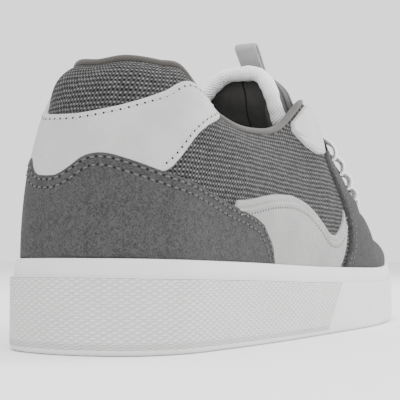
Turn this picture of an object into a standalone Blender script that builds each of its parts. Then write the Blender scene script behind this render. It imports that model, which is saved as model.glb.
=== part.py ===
"""Right skateboarding shoe: cup sole, insole, hollow upper with its overlays, tongue and laces.

Metres, +Z up, toe towards +X, the foot's outer (lateral) side towards -Y.
The origin is on the floor under the middle of the shoe's bounding box.
"""
import math

import bmesh
import bpy
import numpy as np

MM = 0.001
SMALL = 1e-6

# Main sizes of the shoe, in millimetres
LENGTH = 300.0
BALL_WIDTH = 106.0
COLLAR_HEIGHT = 104.0
SOLE_HEIGHT = 33.0

# Wall thicknesses and clearances, in millimetres
UPPER_WALL = 2.2
OVERLAY_WALL = 1.3
GAP = 0.3
OVERLAY_GAP = 0.5
LIP_WIDTH = 2.8
EDGE_ROUND = 2.0
STEP_IN = 1.3
LIP_LEAN = 0.9

# Sole
TOE_SPRING = 7.0
SPRING_START = 0.66
WELL_FLOOR_HEEL = 14.0
WELL_FLOOR_TOE = 10.0
TREAD_DEPTH = 1.6
TREAD_INSET = 9.0
TREAD_GROOVES = (0.250, 0.310, 0.745, 0.800, 0.855)
GROOVE_WIDTH = 3.2
INSOLE_THICKNESS = 4.5
INSOLE_ROUND = 1.0
LIP_ROUND = 0.8
STEP_ROUND = 0.5
STEP_DROP = 0.6

# Rolled edges of the collar and the tongue
BINDING_END = 0.492
BINDING_HALF_WIDTH = 1.9
BINDING_HALF_HEIGHT = 1.8
BINDING_GAP = 0.5
BINDING_SIDES = 6
ROLL_START = 0.70
ROLL_OUT_SIDES = -0.6
ROLL_OUT_TOP = 2.0
ROLL_OUT_FROM = 0.85
ROLL_HALF_WIDTH = 2.6
ROLL_HALF_HEIGHT = 3.0
ROLL_GAP = 0.7

# Padding of the tongue: shares of its thickness at the edges and in the middle, and how its sides bend back
PAD_EDGE = 0.60
PAD_MIDDLE = 0.40
PAD_SET_BACK = 0.3
WRAP_POWER = 2.2

# Pull loop of folded tape
LOOP_PLACE = 0.93
LOOP_HALF_WIDTH = 5.2
LOOP_GAP = 1.0
LOOP_TAPE = 1.1
LOOP_HOLE = 1.6
LOOP_BELOW = 5.0
LOOP_ABOVE = 19.0
LOOP_LEAN = 0.55
LOOP_LEAN_FROM = 4.5

# Laces. Pitches are shares of the way round the upper and along the tongue, from one row to the next;
# the cell sizes are shares of half the throat's width and of the rows' pitch
EYELET_COUNT = 6
EYELET_TOP = 0.519
EYELET_PITCH = 0.0275
EYELET_UP = 0.87
LACE_TOP = 0.640
LACE_PITCH = 0.0925
LACE_THICKNESS = 1.4
LACE_OFF_SUEDE = 2.5
LACE_OFF_TONGUE = 0.9
LACE_ARCH = 5.4
LACE_CELL_ACROSS = 0.22
LACE_CELL_ALONG = 0.42
LACE_DROP = 0.22

# Fineness of the facets
PLAN_SAMPLES = 400
STATION_COUNT = 31
STATION_SPACE = 0.011
STATION_CROWD = 0.045
RIB_STEPS = (-1.0, 0.0, 0.14, 0.30, 0.46, 0.62, 0.78, 0.91, 1.0)
TONGUE_ROWS = 19
TONGUE_COLUMNS = 9
ROLL_SIDE_STEPS = 9
ROLL_TOP_STEPS = 7
LOOP_ARCH_STEPS = 6
LACE_STEPS = 4
SLOPE_STEP = 0.004

# Plan of the sole at the floor. along: 0 at the heel's middle to 1 at the toe's tip, round either side;
# x: share of LENGTH; lateral, medial: shares of BALL_WIDTH
OUTLINE = (
    # along    x      lateral  medial
    (0.000, 0.000, 0.000, 0.000),
    (0.060, 0.017, -0.212, 0.203),
    (0.130, 0.070, -0.343, 0.330),
    (0.220, 0.165, -0.392, 0.371),
    (0.340, 0.305, -0.421, 0.380),
    (0.470, 0.470, -0.428, 0.450),
    (0.600, 0.630, -0.428, 0.550),
    (0.710, 0.757, -0.388, 0.572),
    (0.810, 0.863, -0.307, 0.518),
    (0.880, 0.938, -0.222, 0.425),
    (0.937, 0.981, -0.100, 0.290),
    (1.000, 1.000, 0.095, 0.095),
)

# Heights of the sole's side, as shares of SOLE_HEIGHT above its own bottom edge
SIDE = (
    # along  step   lip
    (0.00, 0.810, 1.000),
    (0.25, 0.760, 0.955),
    (0.45, 0.690, 0.885),
    (0.65, 0.645, 0.850),
    (0.85, 0.640, 0.830),
    (1.00, 0.650, 0.840),
)

# Top line of the upper: collar edge, throat edge, then the ridge over the toes.
# x: share of LENGTH; lateral, medial: shares of BALL_WIDTH; z: share of COLLAR_HEIGHT
RIDGE_START = 0.70
TOP_LINE = (
    # along    x      lateral  medial    z
    (0.000, 0.078, 0.000, 0.000, 0.990),
    (0.060, 0.086, -0.100, 0.096, 1.000),
    (0.130, 0.116, -0.190, 0.178, 0.990),
    (0.178, 0.143, -0.238, 0.215, 0.976),
    (0.202, 0.160, -0.259, 0.230, 0.928),
    (0.230, 0.184, -0.276, 0.244, 0.862),
    (0.270, 0.223, -0.300, 0.263, 0.812),
    (0.340, 0.297, -0.313, 0.285, 0.792),
    (0.400, 0.362, -0.322, 0.290, 0.818),
    (0.450, 0.413, -0.322, 0.285, 0.890),
    (0.475, 0.446, -0.318, 0.275, 0.945),
    (0.500, 0.480, -0.294, 0.258, 0.972),
    (0.525, 0.512, -0.262, 0.244, 0.935),
    (0.560, 0.555, -0.240, 0.236, 0.840),
    (0.600, 0.603, -0.226, 0.232, 0.722),
    (0.640, 0.656, -0.203, 0.222, 0.622),
    (0.675, 0.695, -0.145, 0.185, 0.558),
    (0.700, 0.714, 0.030, 0.030, 0.536),
    (0.760, 0.760, 0.043, 0.043, 0.518),
    (0.830, 0.810, 0.058, 0.058, 0.496),
    (0.910, 0.860, 0.071, 0.071, 0.460),
    (1.000, 0.890, 0.076, 0.076, 0.425),
)

# How each rib of the upper leaves the sole and reaches the top line, in shares of COLLAR_HEIGHT.
# rise, belly: up and out at the sole; drop, flare: down and out at the top line
RIBS = (
    # along  rise   belly  drop   flare
    (0.00, 0.300, 0.000, 0.120, 0.100),
    (0.13, 0.300, 0.000, 0.120, 0.110),
    (0.22, 0.280, 0.005, 0.120, 0.110),
    (0.34, 0.200, 0.015, 0.120, 0.085),
    (0.45, 0.200, 0.015, 0.160, 0.080),
    (0.50, 0.200, 0.015, 0.180, 0.110),
    (0.56, 0.180, 0.010, 0.100, 0.130),
    (0.60, 0.150, 0.010, 0.050, 0.150),
    (0.64, 0.130, 0.010, 0.020, 0.150),
    (0.70, 0.110, 0.010, 0.000, 0.190),
    (0.83, 0.110, 0.015, 0.000, 0.200),
    (0.91, 0.105, 0.020, 0.000, 0.150),
    (1.00, 0.100, 0.025, 0.000, 0.120),
)

# Overlays on the upper. Each row is one cut across the piece, from its low edge to its high edge.
# around: share round the foot, minus on the medial side; up: 0 at the lip to 1 at the top line;
# bow: how far the cut is bent, as (around, up) at its middle
LOW_EDGE = 0.009
COUNTER = (
    # place  low around, up     high around, up    bow
    (-0.440, -0.337, LOW_EDGE, -0.304, 0.245, -0.006, 0.000),
    (-0.410, -0.325, LOW_EDGE, -0.284, 0.272, 0.000, 0.000),
    (-0.360, -0.290, LOW_EDGE, -0.250, 0.290, 0.000, 0.000),
    (-0.260, -0.215, LOW_EDGE, -0.200, 0.320, 0.000, 0.000),
    (-0.170, -0.150, LOW_EDGE, -0.150, 0.362, 0.000, 0.000),
    (-0.120, -0.115, LOW_EDGE, -0.115, 0.402, 0.000, 0.000),
    (-0.086, -0.086, LOW_EDGE, -0.086, 0.424, 0.000, 0.000),
    (-0.072, -0.072, LOW_EDGE, -0.072, 0.416, 0.000, 0.000),
    (-0.058, -0.058, LOW_EDGE, -0.058, 0.364, 0.000, 0.000),
    (-0.046, -0.046, LOW_EDGE, -0.046, 0.340, 0.000, 0.000),
    (-0.022, -0.022, LOW_EDGE, -0.022, 0.334, 0.000, 0.000),
    (0.000, 0.000, LOW_EDGE, 0.000, 0.372, 0.000, 0.000),
    (0.014, 0.014, LOW_EDGE, 0.014, 0.410, 0.000, 0.000),
    (0.032, 0.032, LOW_EDGE, 0.032, 0.425, 0.000, 0.000),
    (0.065, 0.065, LOW_EDGE, 0.065, 0.396, 0.000, 0.000),
    (0.110, 0.110, LOW_EDGE, 0.110, 0.355, 0.000, 0.000),
    (0.177, 0.177, LOW_EDGE, 0.177, 0.313, 0.000, 0.000),
    (0.260, 0.250, LOW_EDGE, 0.235, 0.286, 0.000, 0.000),
    (0.330, 0.300, LOW_EDGE, 0.270, 0.278, 0.000, 0.000),
    (0.370, 0.322, LOW_EDGE, 0.290, 0.266, 0.000, 0.000),
    (0.400, 0.337, LOW_EDGE, 0.306, 0.240, 0.006, 0.000),
)
# Room between the panels and the layers that meet them, as a share of the rib
SEAM = 0.012
QUARTER_PANEL = (
    # place  low around, up   high around, up   bow around, up
    (-0.200, -0.110, 0.418, -0.226, 0.975, 0.000, -0.110),
    (-0.185, -0.106, 0.422, -0.206, 0.975, 0.000, -0.080),
    (-0.165, -0.101, 0.427, -0.186, 0.922, 0.000, -0.050),
    (-0.130, -0.096, 0.430, -0.150, 0.800, 0.000, 0.000),
    (-0.100, -0.086, 0.424 + SEAM, -0.110, 0.700, 0.000, 0.000),
    (-0.075, -0.072, 0.416 + SEAM, -0.072, 0.645, 0.000, 0.000),
    (-0.058, -0.058, 0.364 + SEAM, -0.058, 0.636, 0.000, 0.000),
    (-0.046, -0.046, 0.340 + SEAM, -0.046, 0.633, 0.000, 0.000),
    (-0.022, -0.022, 0.334 + SEAM, -0.022, 0.632, 0.000, 0.000),
    (0.000, 0.000, 0.372 + SEAM, 0.000, 0.634, 0.000, 0.000),
    (0.014, 0.014, 0.410 + SEAM, 0.014, 0.638, 0.000, 0.000),
    (0.032, 0.032, 0.425 + SEAM, 0.033, 0.645, 0.000, 0.000),
    (0.065, 0.060, 0.403 + SEAM, 0.067, 0.671, 0.000, 0.000),
    (0.100, 0.084, 0.382 + SEAM, 0.117, 0.744, 0.000, 0.000),
    (0.130, 0.098, 0.368 + SEAM, 0.154, 0.826, 0.000, 0.000),
    (0.160, 0.107, 0.360 + SEAM, 0.196, 0.920, 0.000, -0.050),
    (0.180, 0.112, 0.355 + SEAM, 0.222, 0.955, 0.000, -0.070),
    (0.200, 0.116, 0.352 + SEAM, 0.245, 0.945, 0.000, -0.100),
)
WAIST_OVERLAY = (
    # place  low around, up   high around, up   bow around, up
    (0.000, 0.245, 0.298, 0.250, 0.325, 0.000, 0.000),
    (0.050, 0.278, 0.288, 0.273, 0.362, 0.000, 0.000),
    (0.100, 0.305, 0.264, 0.312, 0.441, 0.000, 0.000),
    (0.150, 0.323, 0.200, 0.341, 0.479, 0.000, 0.000),
    (0.200, 0.336, 0.115, 0.377, 0.492, 0.000, 0.000),
    (0.250, 0.343, LOW_EDGE, 0.416, 0.443, 0.000, 0.000),
    (0.310, 0.390, LOW_EDGE, 0.446, 0.365, 0.000, 0.000),
    (0.370, 0.435, LOW_EDGE, 0.470, 0.277, 0.000, 0.000),
    (0.410, 0.462, LOW_EDGE, 0.487, 0.222, 0.000, 0.000),
    (0.450, 0.483, LOW_EDGE, 0.504, 0.209, 0.000, 0.000),
    (0.490, 0.498, LOW_EDGE, 0.519, 0.240, 0.000, 0.000),
    (0.530, 0.508, LOW_EDGE, 0.536, 0.310, 0.000, 0.000),
    (0.560, 0.516, LOW_EDGE, 0.546, 0.395, 0.010, 0.000),
)
EYESTAY = (
    # place  low around, up   high around, up   bow around, up
    (0.000, 0.434, 0.945, 0.440, 0.975, 0.000, 0.000),
    (0.200, 0.447, 0.840, 0.457, 0.975, 0.000, 0.000),
    (0.500, 0.467, 0.722, 0.482, 0.975, 0.000, 0.000),
    (0.800, 0.485, 0.682, 0.505, 0.975, 0.000, 0.000),
    (1.000, 0.500, 0.676, 0.530, 0.975, 0.000, 0.000),
)
VAMP = (
    # place  low around, up   high around, up   bow around, up
    (0.000, 0.506, 0.655, 0.536, 0.975, 0.000, 0.000),
    (0.060, 0.527, 0.570, 0.552, 0.975, 0.000, 0.000),
    (0.120, 0.546, 0.475, 0.570, 0.975, 0.000, 0.000),
    (0.170, 0.556, 0.395, 0.590, 0.975, 0.000, 0.000),
    (0.220, 0.562, 0.300, 0.608, 0.975, 0.000, 0.000),
    (0.270, 0.560, 0.200, 0.624, 0.975, 0.000, 0.000),
    (0.320, 0.550, 0.100, 0.640, 0.975, 0.012, 0.000),
    (0.370, 0.534, 0.013, 0.654, 0.975, 0.020, 0.000),
    (0.440, 0.580, 0.015, 0.667, 0.975, 0.000, 0.000),
    (0.510, 0.630, 0.018, 0.679, 0.980, 0.000, 0.000),
    (0.560, 0.665, 0.021, 0.690, 0.990, 0.000, 0.000),
    (0.600, 0.700, 0.024, 0.700, 1.000, 0.000, 0.000),
    (0.700, 0.775, 0.025, 0.775, 1.000, 0.000, 0.000),
    (0.800, 0.850, 0.025, 0.850, 1.000, 0.000, 0.000),
    (0.900, 0.925, 0.025, 0.925, 1.000, 0.000, 0.000),
    (1.000, 1.000, 0.025, 1.000, 1.000, 0.000, 0.000),
)

# Tongue, from under the vamp (0) to its top (1). x: share of LENGTH; z: share of COLLAR_HEIGHT;
# shift, half, wrap: shares of BALL_WIDTH (sideways shift, half width, how far the sides bend back);
# thick: share of COLLAR_HEIGHT
TONGUE = (
    # along   x      z      shift   half   wrap   thick
    (0.00, 0.760, 0.462, 0.040, 0.150, 0.020, 0.025),
    (0.12, 0.700, 0.500, 0.025, 0.205, 0.050, 0.030),
    (0.26, 0.640, 0.590, 0.010, 0.255, 0.085, 0.040),
    (0.42, 0.575, 0.722, 0.005, 0.275, 0.105, 0.055),
    (0.56, 0.527, 0.838, 0.015, 0.262, 0.080, 0.070),
    (0.68, 0.500, 0.935, -0.004, 0.232, 0.060, 0.090),
    (0.80, 0.488, 1.010, -0.012, 0.210, 0.045, 0.110),
    (0.90, 0.482, 1.060, -0.053, 0.152, 0.035, 0.120),
    (1.00, 0.478, 1.116, -0.064, 0.072, 0.015, 0.110),
)


class Curve:
    """Smooth curve through the rows of a table; each stretch depends only on its four nearest rows.

    A limited curve never swings past its rows."""

    def __init__(self, rows, limited=False):
        table = np.array(rows, float)
        self.knots = table[:, 0]
        self.values = table[:, 1:]
        steps = np.diff(self.knots)
        rates = np.diff(self.values, axis=0) / steps[:, None]
        weights = (steps[1:] / (steps[1:] + steps[:-1]))[:, None]
        inner = rates[:-1] * weights + rates[1:] * (1.0 - weights)
        if limited:
            turns = rates[:-1] * rates[1:] <= 0.0
            steepest = 3.0 * np.minimum(np.abs(rates[:-1]), np.abs(rates[1:]))
            inner = np.where(turns, 0.0, np.clip(inner, -steepest, steepest))
        self.slopes = np.vstack([rates[:1], inner, rates[-1:]])

    def at(self, place):
        """Every column at this place."""
        knots = self.knots
        span = int(np.searchsorted(knots, place, side="right")) - 1
        span = min(max(span, 0), len(knots) - 2)
        width = knots[span + 1] - knots[span]
        t = (place - knots[span]) / width
        near = self.values[span] * (1 + 2 * t) + self.slopes[span] * width * t
        far = self.values[span + 1] * (3 - 2 * t) + self.slopes[span + 1] * width * (t - 1)
        return near * (1 - t) ** 2 + far * t * t


def loop_curve(rows):
    """Closed curve from a heel-to-toe table whose last two columns are the lateral and medial sides.

    It runs from 0 to 1 up the lateral side and from 1 to 2 back down the medial side."""
    lateral = [row[:-2] + (row[-2],) for row in rows]
    medial = [(2.0 - row[0],) + row[1:-2] + (row[-1],) for row in rows[-2::-1]]
    ring = lateral + medial
    before = [(row[0] - 2.0,) + row[1:] for row in ring[-4:-1]]
    after = [(row[0] + 2.0,) + row[1:] for row in ring[1:4]]
    return Curve(before + ring + after)


def mirrored_curve(rows):
    """Curve of an open heel-to-toe table, level at its two ends."""
    before = [(-row[0],) + row[1:] for row in rows[3:0:-1]]
    after = [(2.0 - row[0],) + row[1:] for row in rows[-2:-5:-1]]
    return Curve(before + list(rows) + after)


OUTLINE_CURVE = loop_curve(OUTLINE)
SIDE_CURVE = mirrored_curve(SIDE)
RIB_CURVE = mirrored_curve(RIBS)
TOP_CURVE = loop_curve([(row[0], row[1], row[4], row[2], row[3]) for row in TOP_LINE])
RIDGE_CURVE = Curve([(row[0], row[1], row[4], row[2]) for row in TOP_LINE if row[0] >= RIDGE_START])


def along_of(around):
    """Share of the way from heel to toe, on whichever side."""
    around = around % 2.0
    return around if around <= 1.0 else 2.0 - around


def outline(around):
    """Point of the sole's plan at the floor."""
    x, y = OUTLINE_CURVE.at(around % 2.0)
    return np.array([x * LENGTH, y * BALL_WIDTH])


def outward(around):
    """Outward normal of the plan."""
    step = SLOPE_STEP
    tangent = outline(around + step) - outline(around - step)
    normal = np.array([tangent[1], -tangent[0]])
    return normal / np.linalg.norm(normal)


def floor_lift(x):
    """Toe spring: height of the sole's bottom above the floor."""
    start = SPRING_START * LENGTH
    share = max(0.0, (x - start) / (LENGTH - start))
    return TOE_SPRING * share ** 2


def sole_point(around, inset, height):
    """Point in from the plan's edge, at a height above the sole's own bottom."""
    x, y = outline(around) - inset * outward(around)
    return np.array([x, y, floor_lift(x) + height])


def side_heights(around):
    """Heights of the step and of the lip above the sole's own bottom."""
    return SIDE_CURVE.at(along_of(around)) * SOLE_HEIGHT


def well_floor(x):
    """Height of the well's floor above the sole's own bottom."""
    share = min(max(x / LENGTH, 0.0), 1.0)
    return WELL_FLOOR_HEEL + (WELL_FLOOR_TOE - WELL_FLOOR_HEEL) * share


def lip_inset():
    """Inset of the lip's outer edge from the plan."""
    return STEP_IN + LIP_LEAN


def well_inset():
    """Inset of the well's wall from the plan."""
    return lip_inset() + LIP_WIDTH


def top_point(around):
    """Point of the upper's top line."""
    along = along_of(around)
    on_ridge = along >= RIDGE_START
    x, z, y = RIDGE_CURVE.at(along) if on_ridge else TOP_CURVE.at(around % 2.0)
    return np.array([x * LENGTH, y * BALL_WIDTH, z * COLLAR_HEIGHT])


def ridge_slope(along):
    """How fast the ridge falls towards the toe, at this share of the way."""
    step = SLOPE_STEP
    low = top_point(max(along - step, RIDGE_START))
    high = top_point(min(along + step, 1.0))
    return (high[2] - low[2]) / (high[0] - low[0])


def feather(around):
    """Point where the upper comes out of the sole."""
    return sole_point(around, well_inset() + GAP, side_heights(around)[1])


def upper_point(around, up):
    """Outside of the bare upper. up: -1 at the well's floor, 0 at the sole's lip, 1 at the top line."""
    foot = feather(around)
    if up < 0.0:
        x, y = foot[:2]
        low = floor_lift(x) + well_floor(x) + GAP
        return np.array([x, y, foot[2] + (foot[2] - low) * up])
    top = top_point(around)
    along = along_of(around)
    rise, belly, drop, flare = RIB_CURVE.at(along) * COLLAR_HEIGHT
    side = np.append(outward(around), 0.0)
    out = foot - top
    out[2] = 0.0
    out /= np.linalg.norm(out)
    first = foot + np.array([0.0, 0.0, rise]) + belly * side
    second = top + flare * out - np.array([0.0, 0.0, drop])
    if along >= RIDGE_START:
        second[2] += ridge_slope(along) * (second[0] - top[0])
    rest = 1.0 - up
    return rest ** 3 * foot + 3 * rest ** 2 * up * first + 3 * rest * up ** 2 * second + up ** 3 * top


def upper_normal(around, up):
    """Outward normal of the bare upper."""
    step = SLOPE_STEP
    low = max(up - step, 0.0) if up >= 0.0 else up - step
    high = min(up + step, 1.0) if up >= 0.0 else up + step
    rib = upper_point(around, high) - upper_point(around, low)
    if along_of(around) >= RIDGE_START and up > 1.0 - step:
        slope = ridge_slope(along_of(around))
        normal = np.array([-slope, 0.0, 1.0])
        return normal / np.linalg.norm(normal)
    ring = upper_point(around + step, up) - upper_point(around - step, up)
    normal = np.cross(ring, rib)
    return normal / np.linalg.norm(normal)


def off_upper(around, up, distance):
    """Point at this distance outside (or, if negative, inside) the bare upper."""
    return upper_point(around, up) + distance * upper_normal(around, up)


class Shell:
    """Vertices and faces of one solid, in millimetres."""

    def __init__(self):
        self.points = []
        self.faces = []

    def add(self, point):
        self.points.append(np.asarray(point, float))
        return len(self.points) - 1

    def add_row(self, points):
        return [self.add(point) for point in points]

    def face(self, *corners):
        ring = [corner for place, corner in enumerate(corners) if corner != corners[place - 1]]
        if len(set(ring)) >= 3:
            self.faces.append(ring)

    def bridge(self, low, high, closed=True):
        """Quads between two rows of equal length."""
        count = len(low)
        for place in range(count if closed else count - 1):
            after = (place + 1) % count
            self.face(low[place], low[after], high[after], high[place])

    def build(self, name, colour, roughness):
        """Blender object of the solid, outward faces, welded and triangulated."""
        mesh = bpy.data.meshes.new(name)
        shift = plan_shift()
        scaled = [tuple((point - shift) * MM) for point in self.points]
        mesh.from_pydata(scaled, [], self.faces)
        work = bmesh.new()
        work.from_mesh(mesh)
        bmesh.ops.remove_doubles(work, verts=work.verts, dist=1e-6)
        bmesh.ops.recalc_face_normals(work, faces=work.faces)
        bmesh.ops.triangulate(work, faces=work.faces)
        if work.calc_volume(signed=True) < 0.0:
            bmesh.ops.reverse_faces(work, faces=work.faces)
        work.to_mesh(mesh)
        work.free()
        shape = bpy.data.objects.new(name, mesh)
        bpy.context.scene.collection.objects.link(shape)
        material = bpy.data.materials.new(name)
        material.use_nodes = True
        shader = material.node_tree.nodes["Principled BSDF"]
        shader.inputs["Base Color"].default_value = (*colour, 1.0)
        shader.inputs["Roughness"].default_value = roughness
        mesh.materials.append(material)
        return shape


def plan_shift():
    """Middle of the plan's bounding box: the origin of the finished part."""
    if not hasattr(plan_shift, "value"):
        points = np.array([outline(2.0 * step / PLAN_SAMPLES) for step in range(PLAN_SAMPLES)])
        middle = (points.min(axis=0) + points.max(axis=0)) / 2.0
        plan_shift.value = np.array([middle[0], middle[1], 0.0])
    return plan_shift.value


def stations(count):
    """Shares from heel to toe, closer together round the heel and the toe."""
    steps = np.linspace(0.0, 1.0, count)
    return list(steps - STATION_CROWD * np.sin(2 * math.pi * steps))


def ring_of(shares):
    """The same stations up the lateral side and back down the medial side."""
    return list(shares) + [2.0 - share for share in shares[-2:0:-1]]


def along_at_x(x):
    """Share of the way whose outline point has this x, by bisection."""
    low, high = 0.0, 1.0
    for _ in range(40):
        middle = (low + high) / 2.0
        if outline(middle)[0] < x:
            low = middle
        else:
            high = middle
    return (low + high) / 2.0


def close_across(shell, row, shares):
    """Face that closes a ring row, in strips from the lateral to the medial side."""
    count = len(shares)
    for place in range(count - 1):
        left = row[place]
        left_next = row[place + 1]
        right = row[-place] if place else row[0]
        right_next = row[-(place + 1)] if place + 1 < count - 1 else row[count - 1]
        shell.face(left, left_next, right_next, right)


def groove_stations():
    """Stations at both sides of each groove of the tread, from heel to toe."""
    shares = []
    for middle in TREAD_GROOVES:
        shares.append(along_at_x(middle * LENGTH - GROOVE_WIDTH / 2))
        shares.append(along_at_x(middle * LENGTH + GROOVE_WIDTH / 2))
    return shares


def shared_stations():
    """The stations that sole, insole and upper have in common."""
    fixed = groove_stations() + [RIDGE_START]
    plain = [share for share in stations(STATION_COUNT)
             if all(abs(share - other) > STATION_SPACE for other in fixed)]
    return sorted(plain + fixed)


def build_sole():
    """Cup sole: bottom with cross grooves, rounded edge, stepped wall, lip and well."""
    groove_shares = groove_stations()
    shares = shared_stations()
    ring = ring_of(shares)
    shell = Shell()
    halfway = EDGE_ROUND * (1 - math.sqrt(0.5))

    def side(inset, height):
        return shell.add_row([sole_point(around, inset, height) for around in ring])

    def wall(inset, pick, extra=0.0):
        return shell.add_row([sole_point(around, inset, side_heights(around)[pick] + extra)
                              for around in ring])

    def well(inset):
        points = []
        for around in ring:
            x, y = outline(around) - inset * outward(around)
            points.append([x, y, floor_lift(x) + well_floor(x)])
        return shell.add_row(points)

    tread = side(TREAD_INSET, 0.0)
    rows = [
        tread,
        side(EDGE_ROUND, 0.0),
        side(halfway, halfway),
        side(0.0, EDGE_ROUND),
        wall(0.0, 0, -STEP_DROP),
        wall(STEP_ROUND, 0),
        wall(STEP_IN, 0),
        wall(lip_inset(), 1, -LIP_ROUND),
        wall(lip_inset() + LIP_ROUND, 1),
        wall(well_inset(), 1),
        well(well_inset()),
    ]
    for low, high in zip(rows, rows[1:]):
        shell.bridge(low, high)
    close_across(shell, rows[-1], shares)
    close_tread(shell, tread, ring, shares, groove_shares)
    return shell.build("sole", (0.62, 0.62, 0.60), 0.6)


def close_tread(shell, row, ring, shares, groove_shares):
    """Bottom of the sole, with a shallow groove between each pair of groove stations."""
    count = len(shares)
    starts = [shares.index(share) for share in groove_shares[0::2]]

    def medial(place):
        return (len(ring) - place) % len(ring) if place < count - 1 else count - 1

    for place in range(count - 1):
        corners = [place, place + 1, medial(place + 1), medial(place)]
        if place not in starts:
            shell.face(*[row[corner] for corner in corners])
            continue
        deep = []
        for corner in corners:
            x, y = outline(ring[corner]) - TREAD_INSET * outward(ring[corner])
            deep.append(shell.add([x, y, floor_lift(x) + TREAD_DEPTH]))
        shell.face(*deep)
        for first in range(4):
            second = (first + 1) % 4
            shell.face(row[corners[first]], row[corners[second]], deep[second], deep[first])


def build_upper():
    """Hollow shell over the last: outside and inside from the same ribs."""
    ring = ring_of(shared_stations())
    shell = Shell()

    def surface(distance):
        rows = []
        for up in RIB_STEPS[:-1]:
            points = []
            for around in ring:
                point = off_upper(around, up, distance)
                if up < 0.0:
                    point[2] = upper_point(around, up)[2]
                points.append(point)
            rows.append(shell.add_row(points))
        crest = []
        for place, around in enumerate(ring):
            along = along_of(around)
            twin = len(ring) - place
            if around > 1.0 and along >= RIDGE_START:
                crest.append(crest[twin])
            else:
                crest.append(shell.add(off_upper(around, 1.0, distance)))
        rows.append(crest)
        for low, high in zip(rows, rows[1:]):
            shell.bridge(low, high)
        return rows

    outside = surface(0.0)
    inside = surface(-UPPER_WALL)
    shell.bridge(inside[0], outside[0])
    count = len(ring)
    for place in range(count):
        after = (place + 1) % count
        if outside[-1][place] == outside[-1][-place] and outside[-1][after] == outside[-1][-after]:
            if 0 < place < count - 1 and along_of(ring[place]) >= RIDGE_START:
                if along_of(ring[after]) >= RIDGE_START:
                    continue
        shell.face(outside[-1][place], outside[-1][after], inside[-1][after], inside[-1][place])
    return shell.build("upper", (0.30, 0.30, 0.31), 0.9)


def build_insole():
    """Footbed on the well's floor, inside the upper."""
    shares = shared_stations()
    ring = ring_of(shares)
    shell = Shell()
    inset = well_inset() + GAP + UPPER_WALL + GAP

    def level(extra_inset, height):
        points = []
        for around in ring:
            x, y = outline(around) - (inset + extra_inset) * outward(around)
            points.append([x, y, floor_lift(x) + well_floor(x) + GAP + height])
        return shell.add_row(points)

    rows = [level(0.0, 0.0), level(0.0, INSOLE_THICKNESS - INSOLE_ROUND),
            level(INSOLE_ROUND, INSOLE_THICKNESS)]
    for low, high in zip(rows, rows[1:]):
        shell.bridge(low, high)
    close_across(shell, rows[0], shares)
    close_across(shell, rows[-1], shares)
    return shell.build("insole", (0.12, 0.12, 0.13), 0.9)


def cut_across(cut, shares, distance):
    """Points of one cut across an overlay, from its low to its high edge."""
    low_around, low_up, high_around, high_up, bow_around, bow_up = cut
    points = []
    for share in shares:
        bend = 4.0 * share * (1.0 - share)
        around = low_around + (high_around - low_around) * share + bow_around * bend
        up = low_up + (high_up - low_up) * share + bow_up * bend
        points.append(off_upper(around, up, distance))
    return points


def medial_row(row):
    """The same cut on the other side of the foot."""
    return (row[0], -row[1], row[2], -row[3], row[4], -row[5], row[6])


def places_along(rows, spacing):
    """Every row's place, with more between rows that lie further apart than the spacing."""
    places = []
    for row, after in zip(rows, rows[1:]):
        splits = max(1, math.ceil((after[0] - row[0]) / spacing - SMALL))
        places += [row[0] + (after[0] - row[0]) * step / splits for step in range(splits)]
    return places + [rows[-1][0]]


def build_patch(name, rows, spacing, steps, colour, roughness):
    """Overlay a gap off the upper, cut square at its edges."""
    curve = Curve(rows, limited=True)
    shell = Shell()
    inner = []
    outer = []
    places = places_along(rows, spacing)
    columns = len(places)
    shares = np.linspace(0.0, 1.0, steps)
    for place in places:
        cut = curve.at(place)
        inner.append(shell.add_row(cut_across(cut, shares, OVERLAY_GAP)))
        outer.append(shell.add_row(cut_across(cut, shares, OVERLAY_GAP + OVERLAY_WALL)))
    for sheet in (inner, outer):
        for low, high in zip(sheet, sheet[1:]):
            shell.bridge(low, high, closed=False)
    for place in range(columns - 1):
        for edge in (0, steps - 1):
            shell.face(inner[place][edge], inner[place + 1][edge],
                       outer[place + 1][edge], outer[place][edge])
    for end in (0, columns - 1):
        shell.bridge(inner[end], outer[end], closed=False)
    return shell.build(name, colour, roughness)


def vamp_places(spacing):
    """Cuts of the vamp: even ones beside the throat, then the upper's own stations over the toes."""
    beside = [row for row in VAMP if row[3] <= RIDGE_START]
    shares = [share for share in shared_stations() if share > RIDGE_START]
    start = beside[-1][0]
    scale = (VAMP[-1][0] - start) / (1.0 - RIDGE_START)
    return places_along(beside, spacing) + [start + (share - RIDGE_START) * scale for share in shares]


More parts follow.
